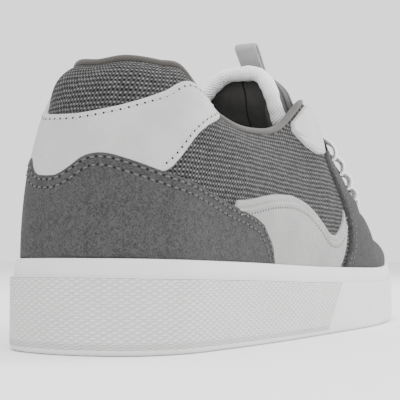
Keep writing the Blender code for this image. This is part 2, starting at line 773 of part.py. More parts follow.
def build_vamp(spacing, colour, roughness):
    """Suede over the toe with an arm up each side of the throat; its halves join along the ridge."""
    curve = Curve(VAMP, limited=True)
    places = vamp_places(spacing)
    shares = [step for step in RIB_STEPS if step >= 0.0]
    shell = Shell()
    sheets = []
    for distance in (OVERLAY_GAP, OVERLAY_GAP + OVERLAY_WALL):
        lateral = []
        medial = []
        for place in places:
            cut = curve.at(place)
            side = cut_across(cut, shares, distance)
            lateral.append(shell.add_row(side))
            if place == places[-1]:
                medial.append(lateral[-1])
                continue
            row = medial_row((place, *cut))
            other = cut_across(row[1:], shares, distance)
            on_ridge = cut[3] > 1.0 - SMALL
            if on_ridge:
                joined = shell.add_row(other[:-1]) + [lateral[-1][-1]]
                medial.append(joined)
            else:
                medial.append(shell.add_row(other))
        sheets.append(lateral + medial[-2::-1])
    inner, outer = sheets
    for sheet in sheets:
        for low, high in zip(sheet, sheet[1:]):
            shell.bridge(low, high, closed=False)
    for place in range(len(inner) - 1):
        shell.face(inner[place][0], inner[place + 1][0], outer[place + 1][0], outer[place][0])
        twin = len(inner) - 1 - place
        joined = inner[place][-1] == inner[twin][-1] and inner[place + 1][-1] == inner[twin - 1][-1]
        if not joined:
            shell.face(inner[place][-1], inner[place + 1][-1], outer[place + 1][-1], outer[place][-1])
    for end in (0, len(inner) - 1):
        shell.bridge(inner[end], outer[end], closed=False)
    return shell.build("vamp", colour, roughness)


TONGUE_CURVE = Curve(TONGUE)


def tongue_frame(along):
    """Middle of the tongue's front, its forward direction, and its sizes, at this share of its length."""
    def middle(place):
        x, z = TONGUE_CURVE.at(place)[:2]
        return np.array([x * LENGTH, 0.0, z * COLLAR_HEIGHT])

    x, z, shift, half, wrap, thick = TONGUE_CURVE.at(along)
    ahead = middle(min(along + 0.01, 1.0)) - middle(max(along - 0.01, 0.0))
    ahead /= np.linalg.norm(ahead)
    front = np.array([ahead[2], 0.0, -ahead[0]])
    centre = np.array([x * LENGTH, shift * BALL_WIDTH, z * COLLAR_HEIGHT])
    return centre, front, half * BALL_WIDTH, wrap * BALL_WIDTH, thick * COLLAR_HEIGHT


def tongue_point(along, across, depth):
    """across: -1 lateral edge to 1 medial edge; depth: 0 at the front to 1 at the back."""
    centre, front, half, wrap, thick = tongue_frame(along)
    bend = wrap * abs(across) ** WRAP_POWER
    pad = thick * (PAD_EDGE + PAD_MIDDLE * math.sqrt(max(0.0, 1.0 - across * across)))
    back = bend + pad * depth + PAD_SET_BACK * thick * across ** 2
    return centre + np.array([0.0, across * half, 0.0]) - front * back


def build_tongue():
    """Padded tongue, thick in the middle and thin at its edges."""
    shell = Shell()
    rows = []
    for along in np.linspace(0.0, 1.0, TONGUE_ROWS):
        over = [tongue_point(along, across, 0.0) for across in np.linspace(-1.0, 1.0, TONGUE_COLUMNS)]
        under = [tongue_point(along, across, 1.0) for across in np.linspace(1.0, -1.0, TONGUE_COLUMNS)]
        rows.append(shell.add_row(over + under))
    for low, high in zip(rows, rows[1:]):
        shell.bridge(low, high)
    for row in (rows[0], rows[-1]):
        for place in range(TONGUE_COLUMNS - 1):
            shell.face(row[place], row[place + 1], row[-place - 2], row[-place - 1])
    return shell.build("tongue", (0.22, 0.22, 0.23), 0.9)


def build_tube(name, centres, ups, half_width, half_height, colour, roughness, sides=8):
    """Padded roll along a path; ups gives each ring's upward direction."""
    shell = Shell()
    rings = []
    count = len(centres)
    for place, centre in enumerate(centres):
        ahead = centres[min(place + 1, count - 1)] - centres[max(place - 1, 0)]
        ahead = ahead / np.linalg.norm(ahead)
        up = ups[place] - ahead * float(ups[place] @ ahead)
        up /= np.linalg.norm(up)
        across = np.cross(ahead, up)
        ring = []
        for step in range(sides):
            turn = 2 * math.pi * (step + 0.5) / sides
            ring.append(centre + across * half_width * math.cos(turn) + up * half_height * math.sin(turn))
        rings.append(shell.add_row(ring))
    for low, high in zip(rings, rings[1:]):
        shell.bridge(low, high)
    shell.face(*rings[0][::-1])
    shell.face(*rings[-1])
    return shell.build(name, colour, roughness)


def build_binding():
    """Rolled edge round the collar, from one eyestay's top to the other's."""
    centres = []
    ups = []
    side = [share for share in shared_stations() if 0.0 < share < BINDING_END - STATION_SPACE / 2]
    side.append(BINDING_END)
    for around in side[::-1] + [0.0] + [-share for share in side]:
        edge = upper_point(around, 1.0)
        normal = upper_normal(around, 1.0)
        middle = edge - normal * UPPER_WALL / 2
        ahead = upper_point(around + SLOPE_STEP, 1.0) - upper_point(around - SLOPE_STEP, 1.0)
        up = np.cross(ahead, normal)
        up /= np.linalg.norm(up)
        if up @ (edge - upper_point(around, 0.97)) < 0.0:
            up = -up
        centres.append(middle + up * (BINDING_GAP + BINDING_HALF_HEIGHT))
        ups.append(up)
    return build_tube("collar_binding", centres, ups, BINDING_HALF_WIDTH, BINDING_HALF_HEIGHT,
                      (0.40, 0.38, 0.36), 0.8, sides=BINDING_SIDES)


def build_tongue_edge():
    """White padded roll up one edge of the tongue, over its top and down the other."""
    border = []
    for along in np.linspace(ROLL_START, 1.0, ROLL_SIDE_STEPS):
        border.append((along, -1.0))
    for across in np.linspace(-1.0, 1.0, ROLL_TOP_STEPS)[1:-1]:
        border.append((1.0, across))
    for along in np.linspace(1.0, ROLL_START, ROLL_SIDE_STEPS):
        border.append((along, 1.0))
    path = [tongue_point(along, across, 1.0) for along, across in border]
    middle = sum(path) / len(path)
    centres = []
    ups = []
    for place, (along, across) in enumerate(border):
        ahead = path[min(place + 1, len(path) - 1)] - path[max(place - 1, 0)]
        front = tongue_frame(along)[1]
        out = np.cross(ahead, front)
        out /= np.linalg.norm(out)
        if out @ (path[place] - middle) < 0.0:
            out = -out
        rise = max(along - ROLL_OUT_FROM, 0.0) / (1.0 - ROLL_OUT_FROM)
        outwards = ROLL_OUT_SIDES + (ROLL_OUT_TOP - ROLL_OUT_SIDES) * rise
        centres.append(path[place] + out * outwards - front * (ROLL_HALF_HEIGHT + ROLL_GAP))
        ups.append(front)
    return build_tube("tongue_edge", centres, ups, ROLL_HALF_WIDTH, ROLL_HALF_HEIGHT,
                      (0.85, 0.85, 0.84), 0.9)


def build_pull_loop():
    """Folded webbing tape standing on the front of the tongue's top."""
    centre, front, _half, _wrap, _thick = tongue_frame(LOOP_PLACE)
    back = centre + front * LOOP_GAP
    tall = np.array([-front[2], 0.0, front[0]])
    shell = Shell()

    def profile(inset):
        depth = LOOP_HOLE + 2 * LOOP_TAPE
        radius = depth / 2 - inset
        points = [(inset, -LOOP_BELOW), (inset, LOOP_LEAN_FROM)]
        for step in range(LOOP_ARCH_STEPS + 1):
            turn = math.pi * (1.0 - step / LOOP_ARCH_STEPS)
            points.append((depth / 2 + radius * math.cos(turn),
                           LOOP_ABOVE - depth / 2 + radius * math.sin(turn)))
        points += [(depth - inset, LOOP_LEAN_FROM), (depth - inset, -LOOP_BELOW)]
        return [(forward - LOOP_LEAN * max(height - LOOP_LEAN_FROM, 0.0), height) for forward, height in points]

    rows = []
    for side in (-LOOP_HALF_WIDTH, LOOP_HALF_WIDTH):
        for inset in (0.0, LOOP_TAPE):
            rows.append(shell.add_row([back + front * forward + tall * height + np.array([0.0, side, 0.0])
                                       for forward, height in profile(inset)]))
    low_out, low_in, high_out, high_in = rows
    shell.bridge(low_out, high_out, closed=False)
    shell.bridge(low_in, high_in, closed=False)
    shell.bridge(low_out, low_in, closed=False)
    shell.bridge(high_out, high_in, closed=False)
    for end in (0, -1):
        shell.face(low_out[end], low_in[end], high_in[end], high_out[end])
    return shell.build("pull_loop", (0.55, 0.55, 0.54), 0.8)


def lace_sheet(across, row):
    """Middle of the lace and its outward direction.

    across: -1 at the lateral eyelets to 1 at the medial ones; row: counts the eyelets from the top.
    """
    share = abs(across)
    around = math.copysign(EYELET_TOP + EYELET_PITCH * row, -across)
    up = EYELET_UP - max(share - 1.0, 0.0) * LACE_DROP
    facing = upper_normal(around, up)
    pad = off_upper(around, up, OVERLAY_GAP + OVERLAY_WALL + LACE_OFF_SUEDE + LACE_THICKNESS / 2)
    if share >= 1.0:
        return pad, facing
    centre, front = tongue_frame(LACE_TOP - LACE_PITCH * (row - 0.5))[:2]
    hub = centre + front * (LACE_OFF_TONGUE + LACE_THICKNESS / 2)
    away = (front + facing) / np.linalg.norm(front + facing)
    normal = front * (1.0 - share) + facing * share
    point = hub * (1.0 - share) + pad * share + away * LACE_ARCH * 4.0 * share * (1.0 - share)
    return point, normal / np.linalg.norm(normal)


def lace_cells():
    """Cells of the lace's plan, as corners (across, row): eyelet pads, crossings and the runs between."""
    wide, tall = LACE_CELL_ACROSS, LACE_CELL_ALONG
    cells = []

    def diamond(across, row):
        cells.append([(across, row - tall), (across + wide, row),
                      (across, row + tall), (across - wide, row)])

    def run(start, finish, steps):
        for step in range(steps):
            ring = []
            for end, share in ((0, step), (0, step + 1), (1, step + 1), (1, step)):
                part = share / steps
                ring.append(tuple(a * (1.0 - part) + b * part for a, b in zip(start[end], finish[end])))
            cells.append(ring)

    for row in range(EYELET_COUNT):
        for side in (-1.0, 1.0):
            diamond(side, row)
            inner = side * (1.0 - wide)
            if row > 0:
                run([(0.0, row - 0.5 + tall), (side * wide, row - 0.5)],
                    [(inner, row), (side, row - tall)], LACE_STEPS)
            if row < EYELET_COUNT - 1:
                run([(0.0, row + 0.5 - tall), (side * wide, row + 0.5)],
                    [(inner, row), (side, row + tall)], LACE_STEPS)
        if row > 0:
            diamond(0.0, row - 0.5)
    last = EYELET_COUNT - 1
    run([(wide - 1.0, last), (-1.0, last + tall)], [(1.0 - wide, last), (1.0, last + tall)], 2 * LACE_STEPS)
    return cells


def build_laces():
    """Crossing laces over the tongue, as one lattice; their ends stop at the top eyelets."""
    shell = Shell()
    corners = {}
    edges = {}

    def corner(place):
        key = (round(place[0], 4), round(place[1], 4))
        if key not in corners:
            middle, normal = lace_sheet(*place)
            half = normal * LACE_THICKNESS / 2
            corners[key] = (shell.add(middle + half), shell.add(middle - half))
        return key

    for cell in lace_cells():
        keys = [corner(place) for place in cell]
        shell.face(*[corners[key][0] for key in keys])
        shell.face(*[corners[key][1] for key in keys])
        for first, second in zip(keys, keys[1:] + keys[:1]):
            edge = tuple(sorted((first, second)))
            edges[edge] = edges.get(edge, 0) + 1
    for (first, second), uses in edges.items():
        if uses == 1:
            shell.face(corners[first][0], corners[second][0], corners[second][1], corners[first][1])
    return shell.build("laces", (0.88, 0.88, 0.87), 0.9)


def clear_scene():
    for shape in list(bpy.data.objects):
        bpy.data.objects.remove(shape, do_unlink=True)


def main():
    clear_scene()
    build_sole()
    build_insole()
    build_upper()
    suede = (0.14, 0.14, 0.145)
    leather = (0.62, 0.62, 0.61)
    build_patch("heel_counter", COUNTER, 0.026, 5, suede, 0.95)
    build_patch("quarter_panel", QUARTER_PANEL, 0.018, 6, leather, 0.6)
    build_patch("waist_overlay_lateral", WAIST_OVERLAY, 0.035, 5, leather, 0.6)
    build_patch("waist_overlay_medial", [medial_row(row) for row in WAIST_OVERLAY], 0.035, 5, leather, 0.6)
    build_patch("eyestay_lateral", EYESTAY, 0.16, 6, leather, 0.6)
    build_patch("eyestay_medial", [medial_row(row) for row in EYESTAY], 0.16, 6, leather, 0.6)
    build_vamp(0.042, suede, 0.95)
    build_binding()
    build_tongue()
    build_tongue_edge()
    build_pull_loop()
    build_laces()


main()
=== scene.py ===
"""Looks of the right skateboarding shoe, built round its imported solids. Lengths are in millimetres
until a mesh is made; the design frame has the heel's rear at x = 0 and the floor at z = 0."""
import math

import bmesh
import bpy
import numpy as np
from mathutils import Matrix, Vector


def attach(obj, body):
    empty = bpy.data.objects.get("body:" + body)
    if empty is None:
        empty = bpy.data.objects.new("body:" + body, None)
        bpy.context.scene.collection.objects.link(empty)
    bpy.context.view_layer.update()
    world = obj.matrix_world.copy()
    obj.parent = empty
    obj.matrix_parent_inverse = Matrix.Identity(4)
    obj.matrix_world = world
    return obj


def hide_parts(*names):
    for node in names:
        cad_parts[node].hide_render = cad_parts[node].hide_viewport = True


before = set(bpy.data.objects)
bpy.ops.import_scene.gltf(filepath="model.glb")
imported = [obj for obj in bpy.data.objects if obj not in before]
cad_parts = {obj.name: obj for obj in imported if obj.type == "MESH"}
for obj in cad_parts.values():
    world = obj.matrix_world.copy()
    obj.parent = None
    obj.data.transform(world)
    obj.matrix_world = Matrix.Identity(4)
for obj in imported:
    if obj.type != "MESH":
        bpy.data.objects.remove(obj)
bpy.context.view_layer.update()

MM = 0.001
rng = np.random.default_rng(7)

# Sizes and tables shared with the part's own source
LENGTH = 300.0
BALL_WIDTH = 106.0
COLLAR_HEIGHT = 104.0
SOLE_HEIGHT = 33.0
UPPER_WALL = 2.2
OVERLAY_TOP = 1.8
GAP = 0.3
LIP_WIDTH = 2.8
EDGE_ROUND = 2.0
STEP_IN = 1.3
LIP_LEAN = 0.9
TOE_SPRING = 7.0
SPRING_START = 0.66
WELL_FLOOR_HEEL = 14.0
WELL_FLOOR_TOE = 10.0
INSOLE_THICKNESS = 4.5
RIDGE_START = 0.70


def table(*rows):
    """Rows of shares, given in thousandths."""
    return [tuple(value / 1000 for value in row) for row in rows]


OUTLINE = table(  # along, x, lateral, medial
    (0, 0, 0, 0), (60, 17, -212, 203), (130, 70, -343, 330), (220, 165, -392, 371),
    (340, 305, -421, 380), (470, 470, -428, 450), (600, 630, -428, 550), (710, 757, -388, 572),
    (810, 863, -307, 518), (880, 938, -222, 425), (937, 981, -100, 290), (1000, 1000, 95, 95),
)
SIDE = table(  # along, step, lip
    (0, 810, 1000), (250, 760, 955), (450, 690, 885), (650, 645, 850), (850, 640, 830),
    (1000, 650, 840),
)
TOP_LINE = table(  # along, x, lateral, medial, z
    (0, 78, 0, 0, 990), (60, 86, -100, 96, 1000), (130, 116, -190, 178, 990),
    (178, 143, -238, 215, 976), (202, 160, -259, 230, 928), (230, 184, -276, 244, 862),
    (270, 223, -300, 263, 812), (340, 297, -313, 285, 792), (400, 362, -322, 290, 818),
    (450, 413, -322, 285, 890), (475, 446, -318, 275, 945), (500, 480, -294, 258, 972),
    (525, 512, -262, 244, 935), (560, 555, -240, 236, 840), (600, 603, -226, 232, 722),
    (640, 656, -203, 222, 622), (675, 695, -145, 185, 558), (700, 714, 30, 30, 536),
    (760, 760, 43, 43, 518), (830, 810, 58, 58, 496), (910, 860, 71, 71, 460), (1000, 890, 76, 76, 425),
)
RIBS = table(  # along, rise, belly, drop, flare
    (0, 300, 0, 120, 100), (130, 300, 0, 120, 110), (220, 280, 5, 120, 110), (340, 200, 15, 120, 85),
    (450, 200, 15, 160, 80), (500, 200, 15, 180, 110), (560, 180, 10, 100, 130),
    (600, 150, 10, 50, 150), (640, 130, 10, 20, 150), (700, 110, 10, 0, 190), (830, 110, 15, 0, 200),
    (910, 105, 20, 0, 150), (1000, 100, 25, 0, 120),
)

# Overlays: each row is one cut from the low to the high edge, with a bow or straight.
# LOW tucks under the sole's lip.
LOW = -22
COUNTER = table(  # place, low around, up, high around, up, bow
    (-440, -337, LOW, -304, 245, -6), (-410, -325, LOW, -284, 272), (-360, -290, LOW, -250, 290),
    (-260, -215, LOW, -200, 320), (-170, -150, LOW, -150, 362), (-120, -115, LOW, -115, 402),
    (-86, -86, LOW, -86, 424), (-72, -72, LOW, -72, 416), (-58, -58, LOW, -58, 364),
    (-46, -46, LOW, -46, 340), (-22, -22, LOW, -22, 334), (0, 0, LOW, 0, 372), (14, 14, LOW, 14, 410),
    (32, 32, LOW, 32, 425), (65, 65, LOW, 65, 396), (110, 110, LOW, 110, 355),
    (177, 177, LOW, 177, 313), (260, 250, LOW, 235, 286), (330, 300, LOW, 270, 278),
    (370, 322, LOW, 290, 266), (400, 337, LOW, 306, 240, 6),
)
QUARTER_PANEL = table(  # place, low around, up, high around, up, bow in up
    (-200, -110, 400, -226, 992, -110), (-185, -106, 400, -206, 992, -80),
    (-165, -101, 400, -186, 922, -50), (-130, -96, 400, -150, 800), (-100, -86, 400, -110, 700),
    (-75, -72, 395, -72, 645), (-58, -58, 350, -58, 636), (-46, -46, 325, -46, 633),
    (-22, -22, 320, -22, 632), (0, 0, 355, 0, 634), (14, 14, 390, 14, 638), (32, 32, 400, 33, 645),
    (65, 60, 380, 67, 671), (100, 84, 360, 117, 744), (130, 98, 350, 154, 826),
    (160, 107, 345, 196, 920, -50), (180, 112, 340, 222, 992, -80), (200, 116, 336, 246, 992, -110),
)
WAIST_OVERLAY = table(  # place, low around, up, high around, up, bow
    (0, 245, 270, 250, 325), (50, 274, 250, 273, 362), (100, 300, 225, 312, 441),
    (150, 318, 170, 341, 479), (200, 330, 90, 377, 492), (250, 336, LOW, 416, 443),
    (310, 390, LOW, 446, 365), (370, 435, LOW, 470, 277), (410, 462, LOW, 487, 222),
    (450, 483, LOW, 504, 209), (490, 498, LOW, 519, 240), (530, 508, LOW, 536, 310),
    (560, 516, LOW, 546, 395, 10),
)
EYESTAY = table(  # place, low around, up, high around, up, bow
    (0, 434, 945, 440, 998), (200, 447, 840, 457, 998), (500, 467, 722, 482, 998),
    (800, 485, 682, 505, 998), (1000, 500, 676, 530, 998),
)
VAMP = table(  # place, low around, up, high around, up, bow
    (0, 506, 655, 536, 985), (60, 527, 570, 552, 985), (120, 546, 475, 570, 985),
    (170, 556, 395, 590, 985), (220, 562, 300, 608, 985), (270, 560, 200, 624, 985),
    (320, 550, 100, 640, 985, 12), (370, 534, LOW, 654, 985, 20), (440, 580, LOW, 667, 985),
    (510, 630, LOW, 679, 985), (560, 665, LOW, 690, 990), (600, 700, LOW, 700, 1000),
    (700, 775, LOW, 775, 1000), (800, 850, LOW, 850, 1000), (900, 925, LOW, 925, 1000),
    (1000, 1000, LOW, 1000, 1000),
)
TONGUE = table(  # along, x, z, shift, half, wrap, thick
    (0, 760, 462, 40, 150, 20, 25), (120, 700, 500, 25, 205, 50, 30), (260, 640, 590, 10, 255, 85, 40),
    (420, 575, 722, 5, 275, 105, 55), (560, 527, 838, 15, 262, 80, 70),
    (680, 500, 935, -4, 232, 60, 90), (800, 488, 1010, -12, 210, 45, 110),
    (900, 482, 1060, -53, 152, 35, 120), (1000, 478, 1116, -64, 72, 15, 110),
)


class Curve:
    """Smooth curve through the rows of a table, for many places at once."""

    def __init__(self, rows, limited=False):
        table = np.array(rows, float)
        self.knots = table[:, 0]
        self.values = table[:, 1:]
        steps = np.diff(self.knots)
        rates = np.diff(self.values, axis=0) / steps[:, None]
        weights = (steps[1:] / (steps[1:] + steps[:-1]))[:, None]
        inner = rates[:-1] * weights + rates[1:] * (1.0 - weights)
        if limited:
            turns = rates[:-1] * rates[1:] <= 0.0
            steepest = 3.0 * np.minimum(np.abs(rates[:-1]), np.abs(rates[1:]))
            inner = np.where(turns, 0.0, np.clip(inner, -steepest, steepest))
        self.slopes = np.vstack([rates[:1], inner, rates[-1:]])

    def at(self, place):
        """Every column at these places, as a tuple of arrays."""
        place = np.asarray(place, float)
        span = np.clip(np.searchsorted(self.knots, place, side="right") - 1, 0, len(self.knots) - 2)
        width = (self.knots[span + 1] - self.knots[span])[..., None]
        t = (place - self.knots[span])[..., None] / width
        near = self.values[span] * (1 + 2 * t) + self.slopes[span] * width * t
        far = self.values[span + 1] * (3 - 2 * t) + self.slopes[span + 1] * width * (t - 1)
        value = near * (1 - t) ** 2 + far * t * t
        return tuple(np.moveaxis(value, -1, 0))


def loop_curve(rows):
    """Closed curve: 0 to 1 up the lateral side and 1 to 2 back down the medial side."""
    lateral = [row[:-2] + (row[-2],) for row in rows]
    medial = [(2.0 - row[0],) + row[1:-2] + (row[-1],) for row in rows[-2::-1]]
    ring = lateral + medial
    before = [(row[0] - 2.0,) + row[1:] for row in ring[-4:-1]]
    after = [(row[0] + 2.0,) + row[1:] for row in ring[1:4]]
    return Curve(before + ring + after)


def mirrored_curve(rows):
    before = [(-row[0],) + row[1:] for row in rows[3:0:-1]]
    after = [(2.0 - row[0],) + row[1:] for row in rows[-2:-5:-1]]
    return Curve(before + list(rows) + after)


OUTLINE_CURVE = loop_curve(OUTLINE)
SIDE_CURVE = mirrored_curve(SIDE)
RIB_CURVE = mirrored_curve(RIBS)
TOP_CURVE = loop_curve([(row[0], row[1], row[4], row[2], row[3]) for row in TOP_LINE])
RIDGE_CURVE = Curve([(row[0], row[1], row[4], row[2]) for row in TOP_LINE if row[0] >= RIDGE_START])
TONGUE_CURVE = Curve(TONGUE)


def unit(vectors):
    return vectors / np.maximum(np.linalg.norm(vectors, axis=-1, keepdims=True), 1e-12)


def arrays(*items):
    return np.broadcast_arrays(*(np.asarray(item, float) for item in items))


def dot(first, second):
    return (first * second).sum(-1, keepdims=True)


def path_frame(path, normals):
    """Up and across at each point of a path, square to its run."""
    ahead = unit(np.gradient(path, axis=0))
    up = unit(normals - dot(normals, ahead) * ahead)
    return up, np.cross(ahead, up)


def along_of(around):
    around = np.asarray(around, float) % 2.0
    return np.where(around <= 1.0, around, 2.0 - around)


def outline(around):
    x, y = OUTLINE_CURVE.at(np.asarray(around, float) % 2.0)
    return np.stack([x * LENGTH, y * BALL_WIDTH], -1)


def outward(around):
    step = 0.004
    tangent = outline(around + step) - outline(around - step)
    return unit(np.stack([tangent[..., 1], -tangent[..., 0]], -1))


def floor_lift(x):
    start = SPRING_START * LENGTH
    share = np.maximum(0.0, (x - start) / (LENGTH - start))
    return TOE_SPRING * share ** 2


def sole_point(around, inset, height):
    """Point in from the plan's edge, at a height above the sole's own bottom."""
    flat = outline(around) - np.asarray(inset)[..., None] * outward(around)
    return np.stack([flat[..., 0], flat[..., 1], floor_lift(flat[..., 0]) + height], -1)


def side_heights(around):
    step, lip = SIDE_CURVE.at(along_of(around))
    return step * SOLE_HEIGHT, lip * SOLE_HEIGHT


def well_floor(x):
    share = np.clip(x / LENGTH, 0.0, 1.0)
    return WELL_FLOOR_HEEL + (WELL_FLOOR_TOE - WELL_FLOOR_HEEL) * share


LIP_INSET = STEP_IN + LIP_LEAN
WELL_INSET = LIP_INSET + LIP_WIDTH


def top_point(around):
    along = along_of(around)
    edge = TOP_CURVE.at(np.asarray(around, float) % 2.0)
    ridge = RIDGE_CURVE.at(np.maximum(along, RIDGE_START))
    x, z, y = (np.where(along >= RIDGE_START, on, off) for on, off in zip(ridge, edge))
    return np.stack([x * LENGTH, y * BALL_WIDTH, z * COLLAR_HEIGHT], -1)


def ridge_slope(along):
    step = 0.004
    along = np.maximum(along, RIDGE_START)
    low = top_point(np.clip(along - step, RIDGE_START, 1.0))
    high = top_point(np.clip(along + step, RIDGE_START, 1.0))
    return (high[..., 2] - low[..., 2]) / (high[..., 0] - low[..., 0])


def upper_point(around, up):
    """Outside of the bare upper. up: 0 at the sole's lip, 1 at the top line; straight down below 0."""
    around, up = arrays(around, up)
    foot = sole_point(around, np.full(around.shape, WELL_INSET + GAP), side_heights(around)[1])
    top = top_point(around)
    along = along_of(around)
    rise, belly, drop, flare = (share * COLLAR_HEIGHT for share in RIB_CURVE.at(along))
    side = outward(around)
    out = foot - top
    out[..., 2] = 0.0
    out = unit(out)
    first = foot.copy()
    first[..., 2] += rise
    first[..., :2] += belly[..., None] * side
    second = top + flare[..., None] * out
    second[..., 2] -= drop
    lean = ridge_slope(along) * (second[..., 0] - top[..., 0])
    second[..., 2] += np.where(along >= RIDGE_START, lean, 0.0)
    t = np.maximum(up, 0.0)[..., None]
    rest = 1.0 - t
    point = rest ** 3 * foot + 3 * rest ** 2 * t * first + 3 * rest * t ** 2 * second + t ** 3 * top
    point[..., 2] += np.minimum(up, 0.0) * 3.0 * rise
    return point


def upper_normal(around, up):
    around, up = arrays(around, up)
    step = 0.004
    rib = upper_point(around, np.minimum(up + step, 1.0)) - upper_point(around, np.maximum(up - step, 0.0))
    ring = upper_point(around + step, up) - upper_point(around - step, up)
    normal = unit(np.cross(ring, rib))
    along = along_of(around)
    crest = (along >= RIDGE_START) & (up > 1.0 - step)
    slope = ridge_slope(np.maximum(along, RIDGE_START))
    over = unit(np.stack([-slope, np.zeros_like(slope), np.ones_like(slope)], -1))
    return np.where(crest[..., None], over, normal)


# Creases of wear, as soft troughs (minus) and ridges. Each runs from one (around, up) to another.
CREASES = (
    # from around, up   to around, up   depth  width   sides
    (0.560, 0.560, 0.690, 0.960, -0.55, 2.6, (1, -1)),
    (0.590, 0.400, 0.730, 0.960, -0.45, 2.8, (1, -1)),
    (0.575, 0.480, 0.712, 0.960, 0.35, 3.0, (1, -1)),
    (0.240, 0.800, 0.300, 0.560, -0.35, 4.0, (1, -1)),
    (0.300, 0.900, 0.370, 0.640, 0.30, 5.0, (1,)),
    (0.060, 0.700, 0.150, 0.860, -0.30, 5.0, (1,)),
)
CREASE_REACH = np.array([400.0, 75.0])  # millimetres of the foot's side and of a rib
# Padding that swells the collar round the heel: height in millimetres, lowest share of the side, and reach
COLLAR_SWELL = 2.4
COLLAR_SWELL_FROM = 0.70
COLLAR_SWELL_ROUND = 0.32


def crease(around, up):
    """Height of the creases and of the collar's padding above the smooth upper."""
    around = (np.asarray(around, float) + 1.0) % 2.0 - 1.0
    height = np.zeros(np.broadcast(around, up).shape)
    for a0, u0, a1, u1, depth, width, side in [row[:6] + (side,) for row in CREASES for side in row[6]]:
        way = np.array([side * (a1 - a0), u1 - u0]) * CREASE_REACH
        length = np.linalg.norm(way)
        px = (around - side * a0) * CREASE_REACH[0]
        py = (up - u0) * CREASE_REACH[1]
        share = np.clip((px * way[0] + py * way[1]) / length ** 2, 0.0, 1.0)
        off = np.hypot(px - share * way[0], py - share * way[1])
        fade = np.sin(np.pi * (0.15 + 0.7 * share))
        height = height + depth * fade * np.exp(-(off / width) ** 2)
    near = np.clip(1.0 - np.abs(around) / COLLAR_SWELL_ROUND, 0.0, 1.0)
    tall = np.clip((up - COLLAR_SWELL_FROM) / (1.0 - COLLAR_SWELL_FROM), 0.0, 1.0)
    return height + COLLAR_SWELL * np.sin(np.pi * tall) * near * near * (3.0 - 2.0 * near)


def off_upper(around, up, distance):
    rise = np.asarray(distance) + crease(around, up)
    return upper_point(around, up) + rise[..., None] * upper_normal(around, up)


def plan_shift():
    points = outline(2.0 * np.arange(400) / 400)
    middle = (points.min(axis=0) + points.max(axis=0)) / 2.0
    return np.array([middle[0], middle[1], 0.0])


SHIFT = plan_shift()
UV_NAME = "Fabric"


def link(name, data):
    item = bpy.data.objects.new(name, data)
    bpy.context.scene.collection.objects.link(item)
    return item


class Piece:
    """Grids of points joined into one mesh. uv is in millimetres on the surface."""

    def __init__(self):
        self.points = []
        self.faces = []
        self.uvs = []
        self.slots = []
        self.count = 0

    def grid(self, points, uv=None, slot=0):
        rows, cols = points.shape[:2]
        if uv is None:
            uv = np.zeros((rows, cols, 2))
        index = np.arange(rows * cols).reshape(rows, cols) + self.count
        quads = np.stack([index[:-1, :-1], index[:-1, 1:], index[1:, 1:], index[1:, :-1]], -1)
        self.add(points.reshape(-1, 3), quads.reshape(-1, 4), uv.reshape(-1, 2), slot)

    def add(self, points, faces, uv=None, slot=0):
        """Points with faces that already count from self.count."""
        self.points.append(points)
        self.faces += [tuple(face) for face in np.asarray(faces).tolist()]
        self.uvs.append(np.zeros((len(points), 2)) if uv is None else uv)
        self.slots += [slot] * len(faces)
        self.count += len(points)

    def build(self, name, materials, smooth_angle=None):
        points = (np.concatenate(self.points) - SHIFT) * MM
        mesh = bpy.data.meshes.new(name)
        mesh.from_pydata(points.tolist(), [], self.faces)
        layer = mesh.uv_layers.new(name=UV_NAME)
        uvs = np.concatenate(self.uvs)
        corners = np.empty(len(mesh.loops), np.int32)
        mesh.loops.foreach_get("vertex_index", corners)
        layer.data.foreach_set("uv", uvs[corners].astype(np.float32).ravel())
        mesh.polygons.foreach_set("material_index", np.array(self.slots, np.int32))
        work = bmesh.new()
        work.from_mesh(mesh)
        bmesh.ops.remove_doubles(work, verts=work.verts, dist=2e-6)
        bmesh.ops.dissolve_degenerate(work, edges=work.edges, dist=1e-7)
        bmesh.ops.recalc_face_normals(work, faces=work.faces)
        work.to_mesh(mesh)
        work.free()
        mesh.polygons.foreach_set("use_smooth", np.ones(len(mesh.polygons), bool))
        piece = link(name, mesh)
        for material in materials:
            mesh.materials.append(material)
        if smooth_angle is not None:
            mesh.set_sharp_from_angle(angle=math.radians(smooth_angle))
        return piece


